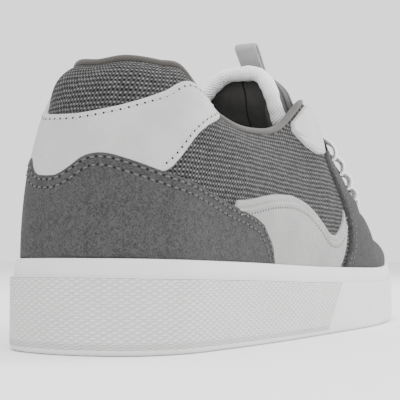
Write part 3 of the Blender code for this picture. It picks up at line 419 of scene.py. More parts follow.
class Graph:
    """Node material with short calls for the nodes used here."""

    def __init__(self, name, **values):
        self.material = bpy.data.materials.new(name)
        self.material.use_nodes = True
        self.tree = self.material.node_tree
        self.shader = self.tree.nodes["Principled BSDF"]
        for key, value in values.items():
            self.shader.inputs[key.replace("_", " ")].default_value = value

    def node(self, kind, settings=(), **inputs):
        node = self.tree.nodes.new(kind)
        for key, value in dict(settings).items():
            setattr(node, key, value)
        for key, value in inputs.items():
            self.feed(node.inputs[key.replace("_", " ")], value)
        return node

    def feed(self, socket, value):
        if isinstance(value, bpy.types.NodeSocket):
            self.tree.links.new(value, socket)
        else:
            socket.default_value = value

    def fed(self, kind, settings, *values):
        """First output of a node whose inputs are fed in their order."""
        node = self.node(kind, settings)
        for socket, value in zip(node.inputs, values):
            self.feed(socket, value)
        return node.outputs[0]

    def math(self, operation, *values):
        return self.fed("ShaderNodeMath", {"operation": operation}, *values)

    def add(self, *values):
        return self.math("ADD", *values)

    def less(self, *values):
        return self.math("SUBTRACT", *values)

    def times(self, *values):
        return self.math("MULTIPLY", *values)

    def ripple(self, angle):
        return self.math("ABSOLUTE", self.math("SINE", angle))

    def mix(self, share, first, second):
        node = self.node("ShaderNodeMix", {"data_type": "RGBA"}, Factor=share, A=first, B=second)
        return node.outputs["Result"]

    def span(self, value, low, high, *out):
        return self.fed("ShaderNodeMapRange", {"interpolation_type": "SMOOTHSTEP"}, value, low, high,
                        *(out or (0.0, 1.0)))

    def uv(self):
        node = self.node("ShaderNodeUVMap", {"uv_map": UV_NAME})
        parts = self.node("ShaderNodeSeparateXYZ", Vector=node.outputs["UV"])
        return parts.outputs["X"], parts.outputs["Y"]

    def place(self):
        """Position on the piece in millimetres."""
        where = self.node("ShaderNodeTexCoord").outputs["Object"]
        return self.node("ShaderNodeVectorMath", {"operation": "SCALE"}, Vector=where,
                         Scale=1.0 / MM).outputs[0]

    def noise(self, where, size, detail, roughness=0.55, distortion=0.0):
        return self.node("ShaderNodeTexNoise", Vector=where, Scale=1.0 / size, Detail=detail,
                         Roughness=roughness, Distortion=distortion).outputs[0]

    def bump(self, height, distance, strength=1.0, **below):
        return self.node("ShaderNodeBump", Height=height, Distance=distance * MM, Strength=strength,
                         **below).outputs[0]

    def use(self, **sockets):
        for key, value in sockets.items():
            self.feed(self.shader.inputs[key.replace("_", " ")], value)
        return self.material


def grey(value, warm=0.0):
    """Linear colour of an sRGB grey from 0 to 255, a little warmer or cooler."""
    parts = []
    for shift in (warm, 0.0, -warm):
        level = min(max((value + shift) / 255.0, 0.0), 1.0)
        parts.append(level / 12.92 if level <= 0.04045 else ((level + 0.055) / 1.055) ** 2.4)
    return (*parts, 1.0)


def suede(name, base):
    g = Graph(name, Roughness=0.95, Specular_IOR_Level=0.06, Sheen_Weight=0.04, Sheen_Roughness=0.5)
    where = g.place()
    fine = g.noise(where, 0.62, 2.0, 0.7)
    nap = g.noise(where, 1.7, 4.0, 0.65, 0.6)
    cloud = g.noise(where, 9.0, 3.0, 0.6, 1.2)
    tone = g.add(g.times(fine, 0.62), g.times(nap, 0.30))
    tone = g.add(tone, g.times(cloud, 0.14))
    share = g.span(tone, 0.38, 0.68)
    colour = g.mix(share, grey(base - 15), grey(base + 12))
    height = g.add(fine, g.times(nap, 0.8))
    return g.use(Base_Color=colour, Normal=g.bump(height, 0.16, 0.6))


def leather(name, base, warm=0.6):
    g = Graph(name, Roughness=0.52, Specular_IOR_Level=0.38)
    where = g.place()
    cells = g.node("ShaderNodeTexVoronoi", {"feature": "SMOOTH_F1"}, Vector=where, Scale=1.35,
                   Smoothness=0.7, Randomness=1.0).outputs["Distance"]
    wrinkle = g.noise(where, 2.4, 4.0, 0.6, 1.6)
    cloud = g.noise(where, 14.0, 2.0, 0.5)
    colour = g.mix(g.span(cloud, 0.3, 0.7), grey(base - 5, warm), grey(base + 4, warm))
    height = g.add(g.times(cells, 0.6), g.times(wrinkle, 1.1))
    rough = g.span(wrinkle, 0.3, 0.7, 0.46, 0.60)
    return g.use(Base_Color=colour, Roughness=rough, Normal=g.bump(height, 0.24, 0.9))


WEAVE_REPEAT_ROUND = 1.75
WEAVE_REPEAT_UP = 1.85
WEAVE_LEAN = 0.3


def mesh_weave(name):
    """Coarse plain weave: leaning light grains in rows, with dark openings between them."""
    g = Graph(name, Roughness=0.85, Specular_IOR_Level=0.15)
    x, y = g.uv()
    where = g.place()
    wobble = g.times(g.less(g.noise(where, 5.0, 2.0), 0.5), 1.1)
    turn_up = g.times(g.add(y, wobble), 2.0 * math.pi / WEAVE_REPEAT_UP)
    turn_round = g.times(g.add(x, wobble), 2.0 * math.pi / WEAVE_REPEAT_ROUND)
    turn_round = g.less(turn_round, g.times(turn_up, WEAVE_LEAN))
    row = g.math("SINE", turn_up)
    column = g.math("SINE", turn_round)
    grain = g.add(g.times(g.times(row, column), 0.55), g.times(row, 0.30))
    fuzz = g.times(g.less(g.noise(where, 0.7, 2.0, 0.6), 0.5), 0.7)
    patch = g.times(g.less(g.noise(where, 2.6, 3.0, 0.6), 0.5), 0.8)
    height = g.add(grain, g.add(fuzz, patch))
    tone = g.mix(g.span(height, -0.66, 0.30), grey(14), grey(68))
    tone = g.mix(g.span(height, 0.12, 0.90), tone, grey(126, 1.0))
    return g.use(Base_Color=tone, Normal=g.bump(grain, 0.40, 0.8))


def ribbed(name, base, pitch, spread, depth=0.35, lean=0.0):
    """Ribbed knit: ribs across u with small stitches along each rib, with painted shade darkening the
    grooves between the ribs.
    """
    g = Graph(name, Roughness=0.92, Specular_IOR_Level=0.15, Sheen_Weight=0.06)
    x, y = g.uv()
    x = g.add(x, g.times(y, lean))
    where = g.place()
    drift = g.times(g.less(g.noise(where, 5.0, 2.0), 0.5), 0.35 * pitch)
    rib = g.ripple(g.times(g.add(x, drift), math.pi / pitch))
    loop = g.ripple(g.times(y, math.pi / (pitch * 0.8)))
    height = g.add(rib, g.times(loop, 0.25))
    # Painted shade: the colour follows the bump's height, darker in the ribs' grooves and lighter on their
    # crests.
    tone = g.mix(g.span(height, 0.15, 1.0), grey(base - 2 * spread), grey(base + spread * 0.4))
    soft = g.noise(where, 1.1, 3.0, 0.7)
    tone = g.mix(g.span(soft, 0.3, 0.8, 0.0, 0.2), tone, grey(min(base + 20, 250)))
    return g.use(Base_Color=tone, Normal=g.bump(height, depth, 0.8))


RELIEF_WIDE = 3.9
RELIEF_TALL = 2.0
RELIEF_END = -14.0
RELIEF_SLANT = 0.85


def sole_rubber(name):
    """Off-white rubber; the lower wall has a slanted diamond relief from the heel to the waist, with
    painted shade darkening the relief's grooves.
    """
    g = Graph(name, Roughness=0.62, Specular_IOR_Level=0.32)
    x, y = g.uv()
    where = g.place()
    parts = g.node("ShaderNodeSeparateXYZ", Vector=where)
    lean = g.less(parts.outputs["X"], g.times(parts.outputs["Z"], RELIEF_SLANT))
    inside = g.span(lean, RELIEF_END - 3.0, RELIEF_END - 2.2, 1.0, 0.0)
    reach = g.times(inside, g.math("GREATER_THAN", y, 0.0))
    up = g.times(y, math.pi / RELIEF_TALL)
    across = g.times(x, math.pi / RELIEF_WIDE)
    rising = g.ripple(g.less(across, up))
    falling = g.ripple(g.add(across, up))
    diamond = g.times(g.math("POWER", rising, 0.9), g.math("POWER", falling, 0.5))
    relief = g.times(diamond, reach)
    grain = g.noise(where, 0.5, 3.0, 0.6)
    cloud = g.noise(where, 22.0, 2.0, 0.5)
    colour = g.mix(g.span(cloud, 0.3, 0.7), grey(208, 1.0), grey(214, 0.6))
    # Painted shade: the colour of the relief's grooves is darkened towards grey 160.
    painted_groove_shade = g.times(g.less(1.0, g.span(diamond, 0.05, 0.5)), reach)
    colour = g.mix(g.times(painted_groove_shade, 0.28), colour, grey(160))
    low = g.bump(grain, 0.05, 0.5)
    return g.use(Base_Color=colour, Normal=g.bump(relief, 0.60, 1.0, Normal=low))


def lining(name, base, warm=1.0, seam=None, strip=None):
    """Dark fabric; on the tongue with a dark seam that bends aside near the top, and a lighter strip."""
    g = Graph(name, Roughness=0.9, Specular_IOR_Level=0.15, Sheen_Weight=0.15)
    where = g.place()
    fine = g.noise(where, 0.5, 2.0, 0.7)
    cloud = g.noise(where, 12.0, 2.0, 0.5, 0.8)
    tone = g.add(g.times(fine, 0.5), g.times(cloud, 0.5))
    colour = g.mix(g.span(tone, 0.3, 0.7), grey(base - 8, warm), grey(base + 10, warm))
    if seam is not None:
        x, y = g.uv()
        colour = g.mix(g.span(x, strip - 0.3, strip + 0.3, 1.0, 0.0), colour, grey(base + 30, warm))
        near = g.math("ABSOLUTE", g.less(x, g.span(y, -15.0, 0.0, seam, 1.0)))
        colour = g.mix(g.span(near, 0.2, 0.6, 1.0, 0.0), colour, grey(14))
    return g.use(Base_Color=colour, Normal=g.bump(fine, 0.2, 0.6))


def tape(name, base, warm, pitch, depth):
    """Woven tape: fine slanted ribs across u with a little fuzz; painted shade darkens the grooves between
    the ribs.
    """
    g = Graph(name, Roughness=0.85, Specular_IOR_Level=0.2, Sheen_Weight=0.15)
    x, y = g.uv()
    where = g.place()
    slanted = g.add(x, g.times(g.math("ABSOLUTE", y), 0.6))
    rib = g.ripple(g.times(slanted, math.pi / pitch))
    fuzz = g.noise(where, 0.6, 3.0, 0.7)
    # The colour follows this height: random fuzz, and painted shade in the grooves between the ribs.
    tone = g.add(g.times(rib, 0.6), g.times(fuzz, 0.5))
    colour = g.mix(g.span(tone, 0.15, 0.85), grey(base - 22, warm), grey(min(base + 8, 252), warm))
    return g.use(Base_Color=colour, Normal=g.bump(tone, depth, 0.7))


def thread(name, base):
    g = Graph(name, Roughness=0.7, Specular_IOR_Level=0.25)
    where = g.place()
    twist = g.noise(where, 0.35, 2.0, 0.6)
    colour = g.mix(g.span(twist, 0.3, 0.7), grey(base - 14), grey(base + 10))
    return g.use(Base_Color=colour, Normal=g.bump(twist, 0.08, 0.6))


SUEDE = suede("suede_counter", 66.0)
# The front's suede is a darker copy of the counter's suede: painted shade that offsets the brighter light
# and sheen on the front.
SUEDE_FRONT_SHADED = suede("suede_front_shaded", 60.0)
LEATHER = leather("leather_light", 174.0)
LEATHER_WAIST = leather("leather_waist", 140.0, 1.2)
MESH = mesh_weave("mesh_upper")
RUBBER = sole_rubber("sole_rubber")
LINING = lining("lining_dark", 48.0)
TONGUE_LINING = lining("lining_tongue", 58.0, 1.0, -5.0, -15.0)
FOOTBED = lining("footbed_cover", 56.0, 0.5)
KNIT = ribbed("tongue_knit", 90.0, 1.1, 18.0)
WHITE_RIB = ribbed("white_rib", 240.0, 1.3, 8.0, 0.30, 0.55)
BINDING = tape("collar_tape", 74.0, 3.0, 0.7, 0.10)
WEBBING = tape("loop_webbing", 158.0, 0.5, 0.8, 0.12)
LACE = tape("lace_weave", 250.0, 0.0, 1.1, 0.16)
THREAD_DARK = thread("thread_counter", 92.0)
THREAD_LIGHT = thread("thread_panel", 176.0)
# Near-black colour for discs of painted shade where needle holes and eyelet openings are.
HOLE_SHADE = thread("needle_hole_shade", 15.0)


def keep(piece, *nodes, slot=None):
    """The piece rides on the one body and stands for these nodes."""
    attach(piece, "root")
    if nodes:
        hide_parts(*nodes)
    return piece


def lengths(points, axis=0):
    """Running length along one axis of a grid of points."""
    steps = np.linalg.norm(np.diff(points, axis=axis), axis=-1)
    start = np.zeros_like(np.take(steps, [0], axis=axis))
    return np.concatenate([start, np.cumsum(steps, axis=axis)], axis=axis)


def round_trip(count):
    """around from the toe down the medial side (minus), over the heel, and up the lateral side."""
    side = np.linspace(0.0, 1.0, count)
    side = side - 0.045 * np.sin(2 * np.pi * side)
    side[np.argmin(np.abs(side - RIDGE_START))] = RIDGE_START
    return np.concatenate([-side[:0:-1], side])


LIP_ROUND = 0.8
WELL_ROUND = 0.4
CLOSING = 60.0  # the inset that stands for the middle line, where a ring of points closes


def middle_line(x):
    """The plan's middle from heel to toe, where the sole's and the insole's grids close."""
    return np.interp(x, (0.0, LENGTH), (0.0, 0.06 * BALL_WIDTH))


# Sole: bottom, rounded edge, stepped wall, lip and well, as rows of a ring
def make_sole():
    around = round_trip(230)
    step, lip = side_heights(around)
    ring = np.zeros(len(around))
    girth = lengths(outline(around))
    girth = girth - girth[len(girth) // 2]
    rows = []

    def row(inset, height, v):
        rows.append((sole_point(around, ring + inset, height), np.broadcast_to(v, ring.shape)))

    for inset in (CLOSING, 30.0, 16.0, 9.0, 4.0, EDGE_ROUND):
        flat = sole_point(around, ring + min(inset, 30.0), 0.0)
        if inset == CLOSING:
            spine = middle_line(flat[:, 0])
            flat[:, 1] = spine + (flat[:, 1] - spine) * 0.001
            flat[:, 2] = floor_lift(flat[:, 0])
        rows.append((flat, np.full(ring.shape, -inset)))
    for turn in np.linspace(0.0, np.pi / 2, 6)[1:]:
        inset = EDGE_ROUND * (1.0 - np.sin(turn))
        height = EDGE_ROUND * (1.0 - np.cos(turn))
        row(inset, height, -0.01)
    for share in np.linspace(0.0, 1.0, 12)[1:]:
        height = EDGE_ROUND + (step - 0.5 - EDGE_ROUND) * share
        row(0.0, height, height)
    for inset, drop in ((0.06, 0.28), (0.22, 0.10), (0.45, 0.0), (0.80, -0.02), (1.15, 0.0),
                        (STEP_IN, 0.12)):
        row(inset, step - drop, -1.0)
    for share in np.linspace(0.0, 1.0, 8)[1:]:
        bulge = 0.18 * math.sin(math.pi * share)
        height = step + (lip - LIP_ROUND - step) * share
        row(LIP_INSET * share + STEP_IN * (1.0 - share) - bulge, height, -1.0)
    for turn in np.linspace(0.0, np.pi / 2, 5)[1:]:
        row(LIP_INSET + LIP_ROUND * (1.0 - np.cos(turn)), lip - LIP_ROUND * (1.0 - np.sin(turn)), -1.0)
    row(WELL_INSET - WELL_ROUND, lip, -1.0)
    row(WELL_INSET, lip - WELL_ROUND, -1.0)
    row(WELL_INSET, well_floor(outline(around)[:, 0]), -1.0)
    points = np.stack([points for points, _ in rows])
    uv = np.stack([np.stack([girth, v], -1) for _, v in rows])
    piece = Piece()
    piece.grid(points, uv)
    return keep(piece.build("sole_rubber_cup", [RUBBER], smooth_angle=38), "sole")


def make_insole():
    around = round_trip(150)
    inset = WELL_INSET + GAP + UPPER_WALL + GAP
    piece = Piece()
    rows = []
    for extra, height in ((0.0, 0.0), (0.0, 3.4), (0.4, 4.1), (1.0, INSOLE_THICKNESS), (6.0, 4.6),
                          (14.0, 4.4), (24.0, 4.3), (CLOSING, 4.3)):
        flat = outline(around) - (inset + min(extra, 24.0)) * outward(around)
        if extra == CLOSING:
            flat[:, 1] = middle_line(flat[:, 0])
        x = flat[:, 0]
        rows.append(np.stack([x, flat[:, 1], floor_lift(x) + well_floor(x) + GAP + height], -1))
    piece.grid(np.stack(rows))
    return keep(piece.build("insole_footbed", [FOOTBED]), "insole")


# Upper: mesh outside, dark lining inside, joined over the collar and throat edge
RIM_EXTRA = 1.2
BINDING_END = 0.492


def make_upper():
    around = round_trip(300)
    ups = np.concatenate([[-0.30, -0.12], np.linspace(0.0, 1.0, 72)])
    grid_a, grid_u = np.meshgrid(around, ups)
    outside = off_upper(grid_a, grid_u, 0.0)
    inside = off_upper(grid_a, grid_u, -UPPER_WALL)
    waist = lengths(upper_point(around, 0.45))
    waist = waist - waist[len(waist) // 2]
    tall = lengths(outside)
    tall = tall - tall[2]
    uv = np.stack([np.broadcast_to(waist, grid_a.shape), tall], -1)
    piece = Piece()
    piece.grid(outside, uv, 0)
    piece.grid(inside[::-1], uv[::-1], 1)
    open_top = np.flatnonzero(np.abs(around) <= RIDGE_START + 1e-9)
    edge_out = outside[-1, open_top]
    edge_in = inside[-1, open_top]
    rise = unit(outside[-1, open_top] - outside[-2, open_top])
    share = np.clip((BINDING_END + 0.02 - np.abs(around[open_top])) / 0.03, 0.0, 1.0)
    extra = (RIM_EXTRA * share + 0.25 * np.clip((RIDGE_START - np.abs(around[open_top])) / 0.02, 0.0, 1.0))
    lift = rise * extra[:, None]
    near, far = (edge_out * part + edge_in * (1.0 - part) + lift for part in (0.8, 0.2))
    rim = np.stack([edge_out, near, far, edge_in])
    rim_uv = np.broadcast_to(uv[-1, open_top], rim.shape[:2] + (2,))
    piece.grid(rim, rim_uv, 0)
    return keep(piece.build("upper_mesh_shell", [MESH, LINING]), "upper")


# Layers start this far under the upper's outside at a free edge, and their inside lies this deep in it
TUCK = 0.3
BACK = 0.35


def shares_of(count):
    """Shares from 0 to 1, close together at both ends."""
    return (1.0 - np.cos(np.linspace(0.0, np.pi, count))) / 2.0


def densify(points, spacing):
    """Even spacing along an open polyline, with any further columns carried along."""
    run = lengths(points[:, :3])
    count = max(int(run[-1] / spacing), 2) + 1
    even = np.linspace(0.0, run[-1], count)
    return np.stack([np.interp(even, run, points[:, column]) for column in range(points.shape[1])], -1)


def distance_to(points, line):
    """Shortest distance from each point to the corners of a dense polyline."""
    flat = points.reshape(-1, 3)
    best = np.empty(len(flat))
    for start in range(0, len(flat), 2000):
        block = flat[start:start + 2000]
        best[start:start + 2000] = np.sqrt(((block[:, None] - line[None]) ** 2).sum(-1).min(1))
    return best.reshape(points.shape[:-1])


def cuts(rows, steps, share, bow_up=False):
    """Places around and up on every cut of a table, from its low to its high edge."""
    curve = Curve([row + (0.0,) * (6 - len(row)) for row in rows], limited=True)
    low_a, low_u, high_a, high_u, bow = (column[:, None] for column in curve.at(steps))
    high_u = np.where(high_u > 1.0 - 1e-6, 1.0, high_u)
    bend = bow * (4.0 * share * (1.0 - share))
    around = low_a + (high_a - low_a) * share
    up = low_u + (high_u - low_u) * share
    return (around, up + bend) if bow_up else (around + bend, up)


def rounded(base, line, top, radius):
    """Height of a layer's outside, rising roundly from the free edges that line follows."""
    share = np.clip(distance_to(base, line) / radius, 0.0, 1.0)
    return -TUCK + (top + TUCK) * np.sqrt(1.0 - (1.0 - share) ** 2)


def build_layer(name, base, normal, height, material, node, free=(slice(None),)):
    """Outside, inside and edges of a layer. free holds the rows of its open high edges."""
    outer = base + height[..., None] * normal
    inner = base - BACK * normal
    uv = np.stack([lengths(base), lengths(base, axis=1)], -1)
    piece = Piece()
    piece.grid(outer, uv)
    piece.grid(inner[::-1], uv[::-1])
    edges = [(outer[0], inner[0]), (inner[-1], outer[-1]), (inner[:, 0], outer[:, 0])]
    for edge in edges + [(outer[rows, -1], inner[rows, -1]) for rows in free]:
        piece.grid(np.stack(edge))
    keep(piece.build(name, [material]), node)
    return outer


def inset_line(run, inset, outer, normal, least=0.0):
    """Points and normals of a line this far inside a run of edge, laid on the layer's outside."""
    path = densify(run, 0.5)
    point, facing, inward = path[:, :3], unit(path[:, 3:6]), path[:, 6:9]
    ahead = unit(np.gradient(point, axis=0))
    inward = inward - dot(inward, ahead) * ahead
    shifted = point + inset * unit(inward - dot(inward, facing) * facing)
    shifted = shifted[distance_to(shifted, point) > least * inset]
    flat = outer.reshape(-1, 3)
    found = np.array([np.argmin(((flat - here) ** 2).sum(-1)) for here in shifted])
    up = normal.reshape(-1, 3)[found]
    return np.concatenate([shifted - dot(shifted - flat[found], up) * up, up], -1)


class Overlay:
    """One layer on the upper, from a table of cuts. Its free edges are rounded, its others tucked in."""

    def __init__(self, rows, spacing, across, bow_up=False, mirror=False):
        start, finish = rows[0][0], rows[-1][0]
        steps = np.linspace(start, finish, int((finish - start) / spacing) + 1)
        near = start + spacing * np.array([0.04, 0.15, 0.4])
        steps = np.sort(np.concatenate([steps, near, finish - (near - start)]))
        around, up = cuts(rows, steps, shares_of(across), bow_up)
        around = -around if mirror else around
        self.base = off_upper(around, up, 0.0)
        self.normal = upper_normal(around, up)

    def run(self, *sides):
        """Chosen edges as one polyline of point, normal and inward direction."""
        base, normal = self.base, self.normal
        deep = 6
        edges = {
            "start": (base[0], normal[0], base[deep] - base[0]),
            "high": (base[:, -1], normal[:, -1], base[:, -deep] - base[:, -1]),
            "end": (base[-1, ::-1], normal[-1, ::-1], (base[-deep] - base[-1])[::-1]),
            "low": (base[:, 0], normal[:, 0], base[:, deep] - base[:, 0]),
        }
        return np.concatenate([np.concatenate(edges[side], axis=-1) for side in sides])

    def height(self, sides, top, radius):
        return rounded(self.base, densify(self.run(*sides)[:, :3], 0.25), top, radius)

    def build(self, name, height, material, node):
        self.outer = build_layer(name, self.base, self.normal, height, material, node)

    def line(self, inset, *sides):
        return inset_line(self.run(*sides), inset, self.outer, self.normal, 0.93)


def sew(name, lines, pitch, material, slot, width=0.34, high=0.26, fill=0.74, hole=0.42):
    """Stitches along lines of points with normals, with dark discs of painted shade where their needle
    holes are.
    """
    threads = Piece()
    hole_shades = Piece()
    turn = np.linspace(0.0, 2 * np.pi, 7)[:-1, None]
    cos, sin = np.cos(turn), np.sin(turn)
    for line in lines:
        even = densify(line, pitch)
        for a, b in zip(even, even[1:]):
            if np.linalg.norm(b[:3] - a[:3]) > pitch * 1.5:
                continue
            middle = (a[:3] + b[:3]) / 2
            up = unit(a[3:6] + b[3:6])
            ahead = unit(b[:3] - a[:3])
            aside = np.cross(up, ahead)
            jitter = rng.normal(0.0, 0.05, 2)
            rings = []
            for share in (-1.0, -0.8, -0.3, 0.3, 0.8, 1.0):
                size = math.sqrt(max(1.0 - share ** 4, 0.02))
                centre = middle + ahead * share * pitch * fill / 2 + aside * (jitter[0] + jitter[1] * share)
                centre = centre + up * (0.14 - 0.34 * share ** 4)
                rings.append(centre + size * (cos * aside * width + sin * up * high))
            ring = np.stack(rings)
            threads.grid(np.concatenate([ring, ring[:, :1]], axis=1))
            # Dark disc of painted shade standing for the needle hole.
            disc = a[:3] + a[3:6] * 0.05 + (cos * ahead + sin * aside) * hole
            dome = np.concatenate([disc, [a[:3] + a[3:6] * 0.09]])
            corners = np.arange(6)
            fan = np.stack([corners, (corners + 1) % 6, np.full(6, 6)], -1) + hole_shades.count
            hole_shades.add(dome, fan)
    keep(threads.build(name, [material]), slot=slot)
    keep(hole_shades.build(name + "_hole_shade", [HOLE_SHADE]), slot=slot)


FREE_SIDES = ("start", "high", "end")


def make_overlays():
    counter = Overlay(COUNTER, 0.0042, 40)
    counter.build("heel_counter_suede", counter.height(FREE_SIDES, OVERLAY_TOP, 1.0), SUEDE, "heel_counter")
    lines = [counter.line(inset, *FREE_SIDES) for inset in (2.0, 4.9)]
    sew("stitches_counter", lines, 3.1, THREAD_DARK, "heel_counter", fill=0.58, hole=0.52)

    panel = Overlay(QUARTER_PANEL, 0.0030, 44, bow_up=True)
    height = panel.height(FREE_SIDES, OVERLAY_TOP - 0.3, 0.9)
    panel.build("quarter_panel_leather", height, LEATHER, "quarter_panel")
    lines = [panel.line(2.3, side) for side in FREE_SIDES]
    sew("stitches_panel", lines, 3.0, THREAD_LIGHT, "quarter_panel", width=0.26, high=0.14, fill=0.55,
        hole=0.46)

    waists = []
    for mirror, node in ((False, "waist_overlay_lateral"), (True, "waist_overlay_medial")):
        waist = Overlay(WAIST_OVERLAY, 0.0035, 44, mirror=mirror)
        height = waist.height(FREE_SIDES, OVERLAY_TOP - 0.7, 0.8)
        border = densify(waist.run("high")[:, :3], 0.25)
        deep = distance_to(waist.base, border)
        step = np.clip((deep - 3.1) / 0.5, 0.0, 1.0)
        ridge = np.exp(-((deep - 3.9) / 0.45) ** 2)
        groove = np.exp(-((deep - 2.9) / 0.30) ** 2)
        height = height + 0.45 * step * step * (3 - 2 * step) + 0.35 * ridge - 0.25 * groove
        waist.build(node + "_leather", height, LEATHER_WAIST, node)
        waists.append(waist)
    lines = [waist.line(5.4, "high") for waist in waists]
    sew("stitches_waist", lines, 2.2, THREAD_LIGHT, "waist_overlay_lateral", width=0.24, high=0.14,
        fill=0.5)

    stays = []
    for mirror, node in ((False, "eyestay_lateral"), (True, "eyestay_medial")):
        stay = Overlay(EYESTAY, 0.02, 40, mirror=mirror)
        height = stay.height(FREE_SIDES + ("low",), OVERLAY_TOP - 0.2, 1.0)
        stay.build(node + "_leather", height, LEATHER, node)
        stays.append(stay)
    sew("stitches_eyestay", [stay.line(1.7, "low") for stay in stays], 2.6, THREAD_LIGHT, "eyestay_lateral",
        width=0.22, high=0.12, fill=0.6, hole=0.26)


VAMP_JOIN = 0.6  # from this place on, the two sides meet along the ridge


def make_vamp():
    """Front suede: both sides in one grid, joined along the ridge."""
    places = np.concatenate([[0.0, 0.0003, 0.001, 0.0025], np.linspace(0.0, VAMP_JOIN, 150)[1:],
                             np.linspace(VAMP_JOIN, 1.0, 80)[1:]])
    around, up = cuts(VAMP, places, shares_of(60))
    around = np.concatenate([around, -around[-2::-1]])
    up = np.concatenate([up, up[-2::-1]])
    base = off_upper(around, up, 0.0)
    normal = upper_normal(around, up)
    free = np.flatnonzero(places < VAMP_JOIN - 1e-9)
    last = len(around) - 1
    arms = [np.concatenate([base[0], base[free, -1]]), np.concatenate([base[last], base[last - free, -1]])]
    lower = np.flatnonzero(places <= 0.372)
    arms += [base[lower, 0], base[last - lower, 0]]
    line = np.concatenate([densify(arm, 0.25) for arm in arms])
    height = rounded(base, line, OVERLAY_TOP, 2.2)
    outer = build_layer("vamp_suede", base, normal, height, SUEDE_FRONT_SHADED, "vamp", (free, last - free))
    seams = []
    for rows in (np.arange(len(places)), last - np.arange(len(places))):
        for inset in (1.9, 4.3):
            for column, step, edge in ((0, 5, rows[places <= 0.362]), (-1, -6, rows[places < 0.585])):
                point = base[edge, column]
                run = np.concatenate([point, normal[edge, column], base[edge, step] - point], -1)
                seams.append(inset_line(run, inset, outer, normal))
    sew("stitches_vamp", seams, 2.9, THREAD_DARK, "vamp", hole=0.26)


def tube(name, centres, ups, wide, high, material, node, sides=16):
    """Roll along a path with rounded ends, from its half sizes; uv runs along it and round it."""
    up, across = path_frame(centres, ups)
    turn = np.linspace(0.0, 2 * np.pi, sides + 1)
    around = turn / (2 * np.pi) * 4.0 * (wide.mean() + high.mean()) / 1.3
    run = lengths(centres)
    ends = np.minimum(run, run[-1] - run)
    cap = np.sqrt(np.clip(1.0 - (1.0 - np.clip(ends / (0.8 * high.mean()), 0.0, 1.0)) ** 2, 0.0, 1.0))
    points = (centres[:, None] + across[:, None] * ((wide * cap)[:, None] * np.cos(turn))[..., None]
              + up[:, None] * ((high * cap)[:, None] * np.sin(turn))[..., None])
    piece = Piece()
    piece.grid(points, np.stack(np.broadcast_arrays(run[:, None], around), -1))
    return keep(piece.build(name, [material]), node)


def end_steps(count):
    """Even steps from 0 to 1 with some finer ones at both ends for a rounded cap."""
    steps = np.linspace(0.0, 1.0, count)
    near = steps[1] * np.linspace(0.0, 1.0, 6)[1:-1]
    return np.sort(np.concatenate([steps, near, 1.0 - near]))


BINDING_HALF = (1.85, 1.5)
BINDING_RISE = 2.2


def make_binding():
    around = (end_steps(220) * 2.0 - 1.0) * (BINDING_END + 0.010)
    edge = off_upper(around, 1.0, 0.0)
    normal = upper_normal(around, 1.0)
    below = off_upper(around, 0.985, 0.0)
    ahead = unit(np.gradient(edge, axis=0))
    up = np.cross(ahead, normal)
    up = unit(np.where(dot(edge - below, up) < 0.0, -up, up))
    centres = edge - normal * (UPPER_WALL / 2 - 0.1) + up * BINDING_RISE
    thin = 1.0 - 0.4 * np.clip((np.abs(around) - BINDING_END + 0.02) / 0.03, 0.0, 1.0)
    wide, high = (half * thin for half in BINDING_HALF)
    tube("collar_binding_roll", centres, up, wide, high, BINDING, "collar_binding")


# Tongue
def tongue_frame(along):
    along = np.asarray(along, float)

    def middle(place):
        x, z = TONGUE_CURVE.at(place)[:2]
        return np.stack([x * LENGTH, np.zeros_like(x), z * COLLAR_HEIGHT], -1)

    x, z, shift, half, wrap, thick = TONGUE_CURVE.at(along)
    ahead = unit(middle(np.minimum(along + 0.01, 1.0)) - middle(np.maximum(along - 0.01, 0.0)))
    front = np.stack([ahead[..., 2], np.zeros_like(x), -ahead[..., 0]], -1)
    centre = np.stack([x * LENGTH, shift * BALL_WIDTH, z * COLLAR_HEIGHT], -1)
    return centre, front, half * BALL_WIDTH, wrap * BALL_WIDTH, thick * COLLAR_HEIGHT


# The knit of the outer side stands out beyond the white roll, by these millimetres
EDGE_OUT = 2.6
EDGE_FORWARD = 3.2
# Padding at the tongue's sides and what its middle has more, as shares; its set back; power of the wrap
PAD_EDGE = 0.60
PAD_MIDDLE = 0.40
PAD_SET_BACK = 0.3
WRAP_POWER = 2.2
SIDE_BULGE = {1.0: 1.2, -1.0: 2.4}


def tongue_point(along, across, depth):
    along, across, depth = arrays(along, across, depth)
    centre, front, half, wrap, thick = tongue_frame(along)
    bend = wrap * np.abs(across) ** WRAP_POWER
    pad = thick * (PAD_EDGE + PAD_MIDDLE * np.sqrt(np.maximum(0.0, 1.0 - across * across)))
    back = bend + pad * depth + PAD_SET_BACK * thick * across ** 2
    swell = np.sin(np.pi * np.clip((along - 0.45) / 0.55, 0.0, 1.0)) ** 0.7
    fuller = np.where(across < 0.0, np.abs(across) ** 3, 0.0) * (1.0 - depth) * swell
    back = back - EDGE_FORWARD * fuller
    aside = np.zeros(across.shape + (3,))
    aside[..., 1] = across * half - EDGE_OUT * fuller
    return centre + aside - front * back[..., None]


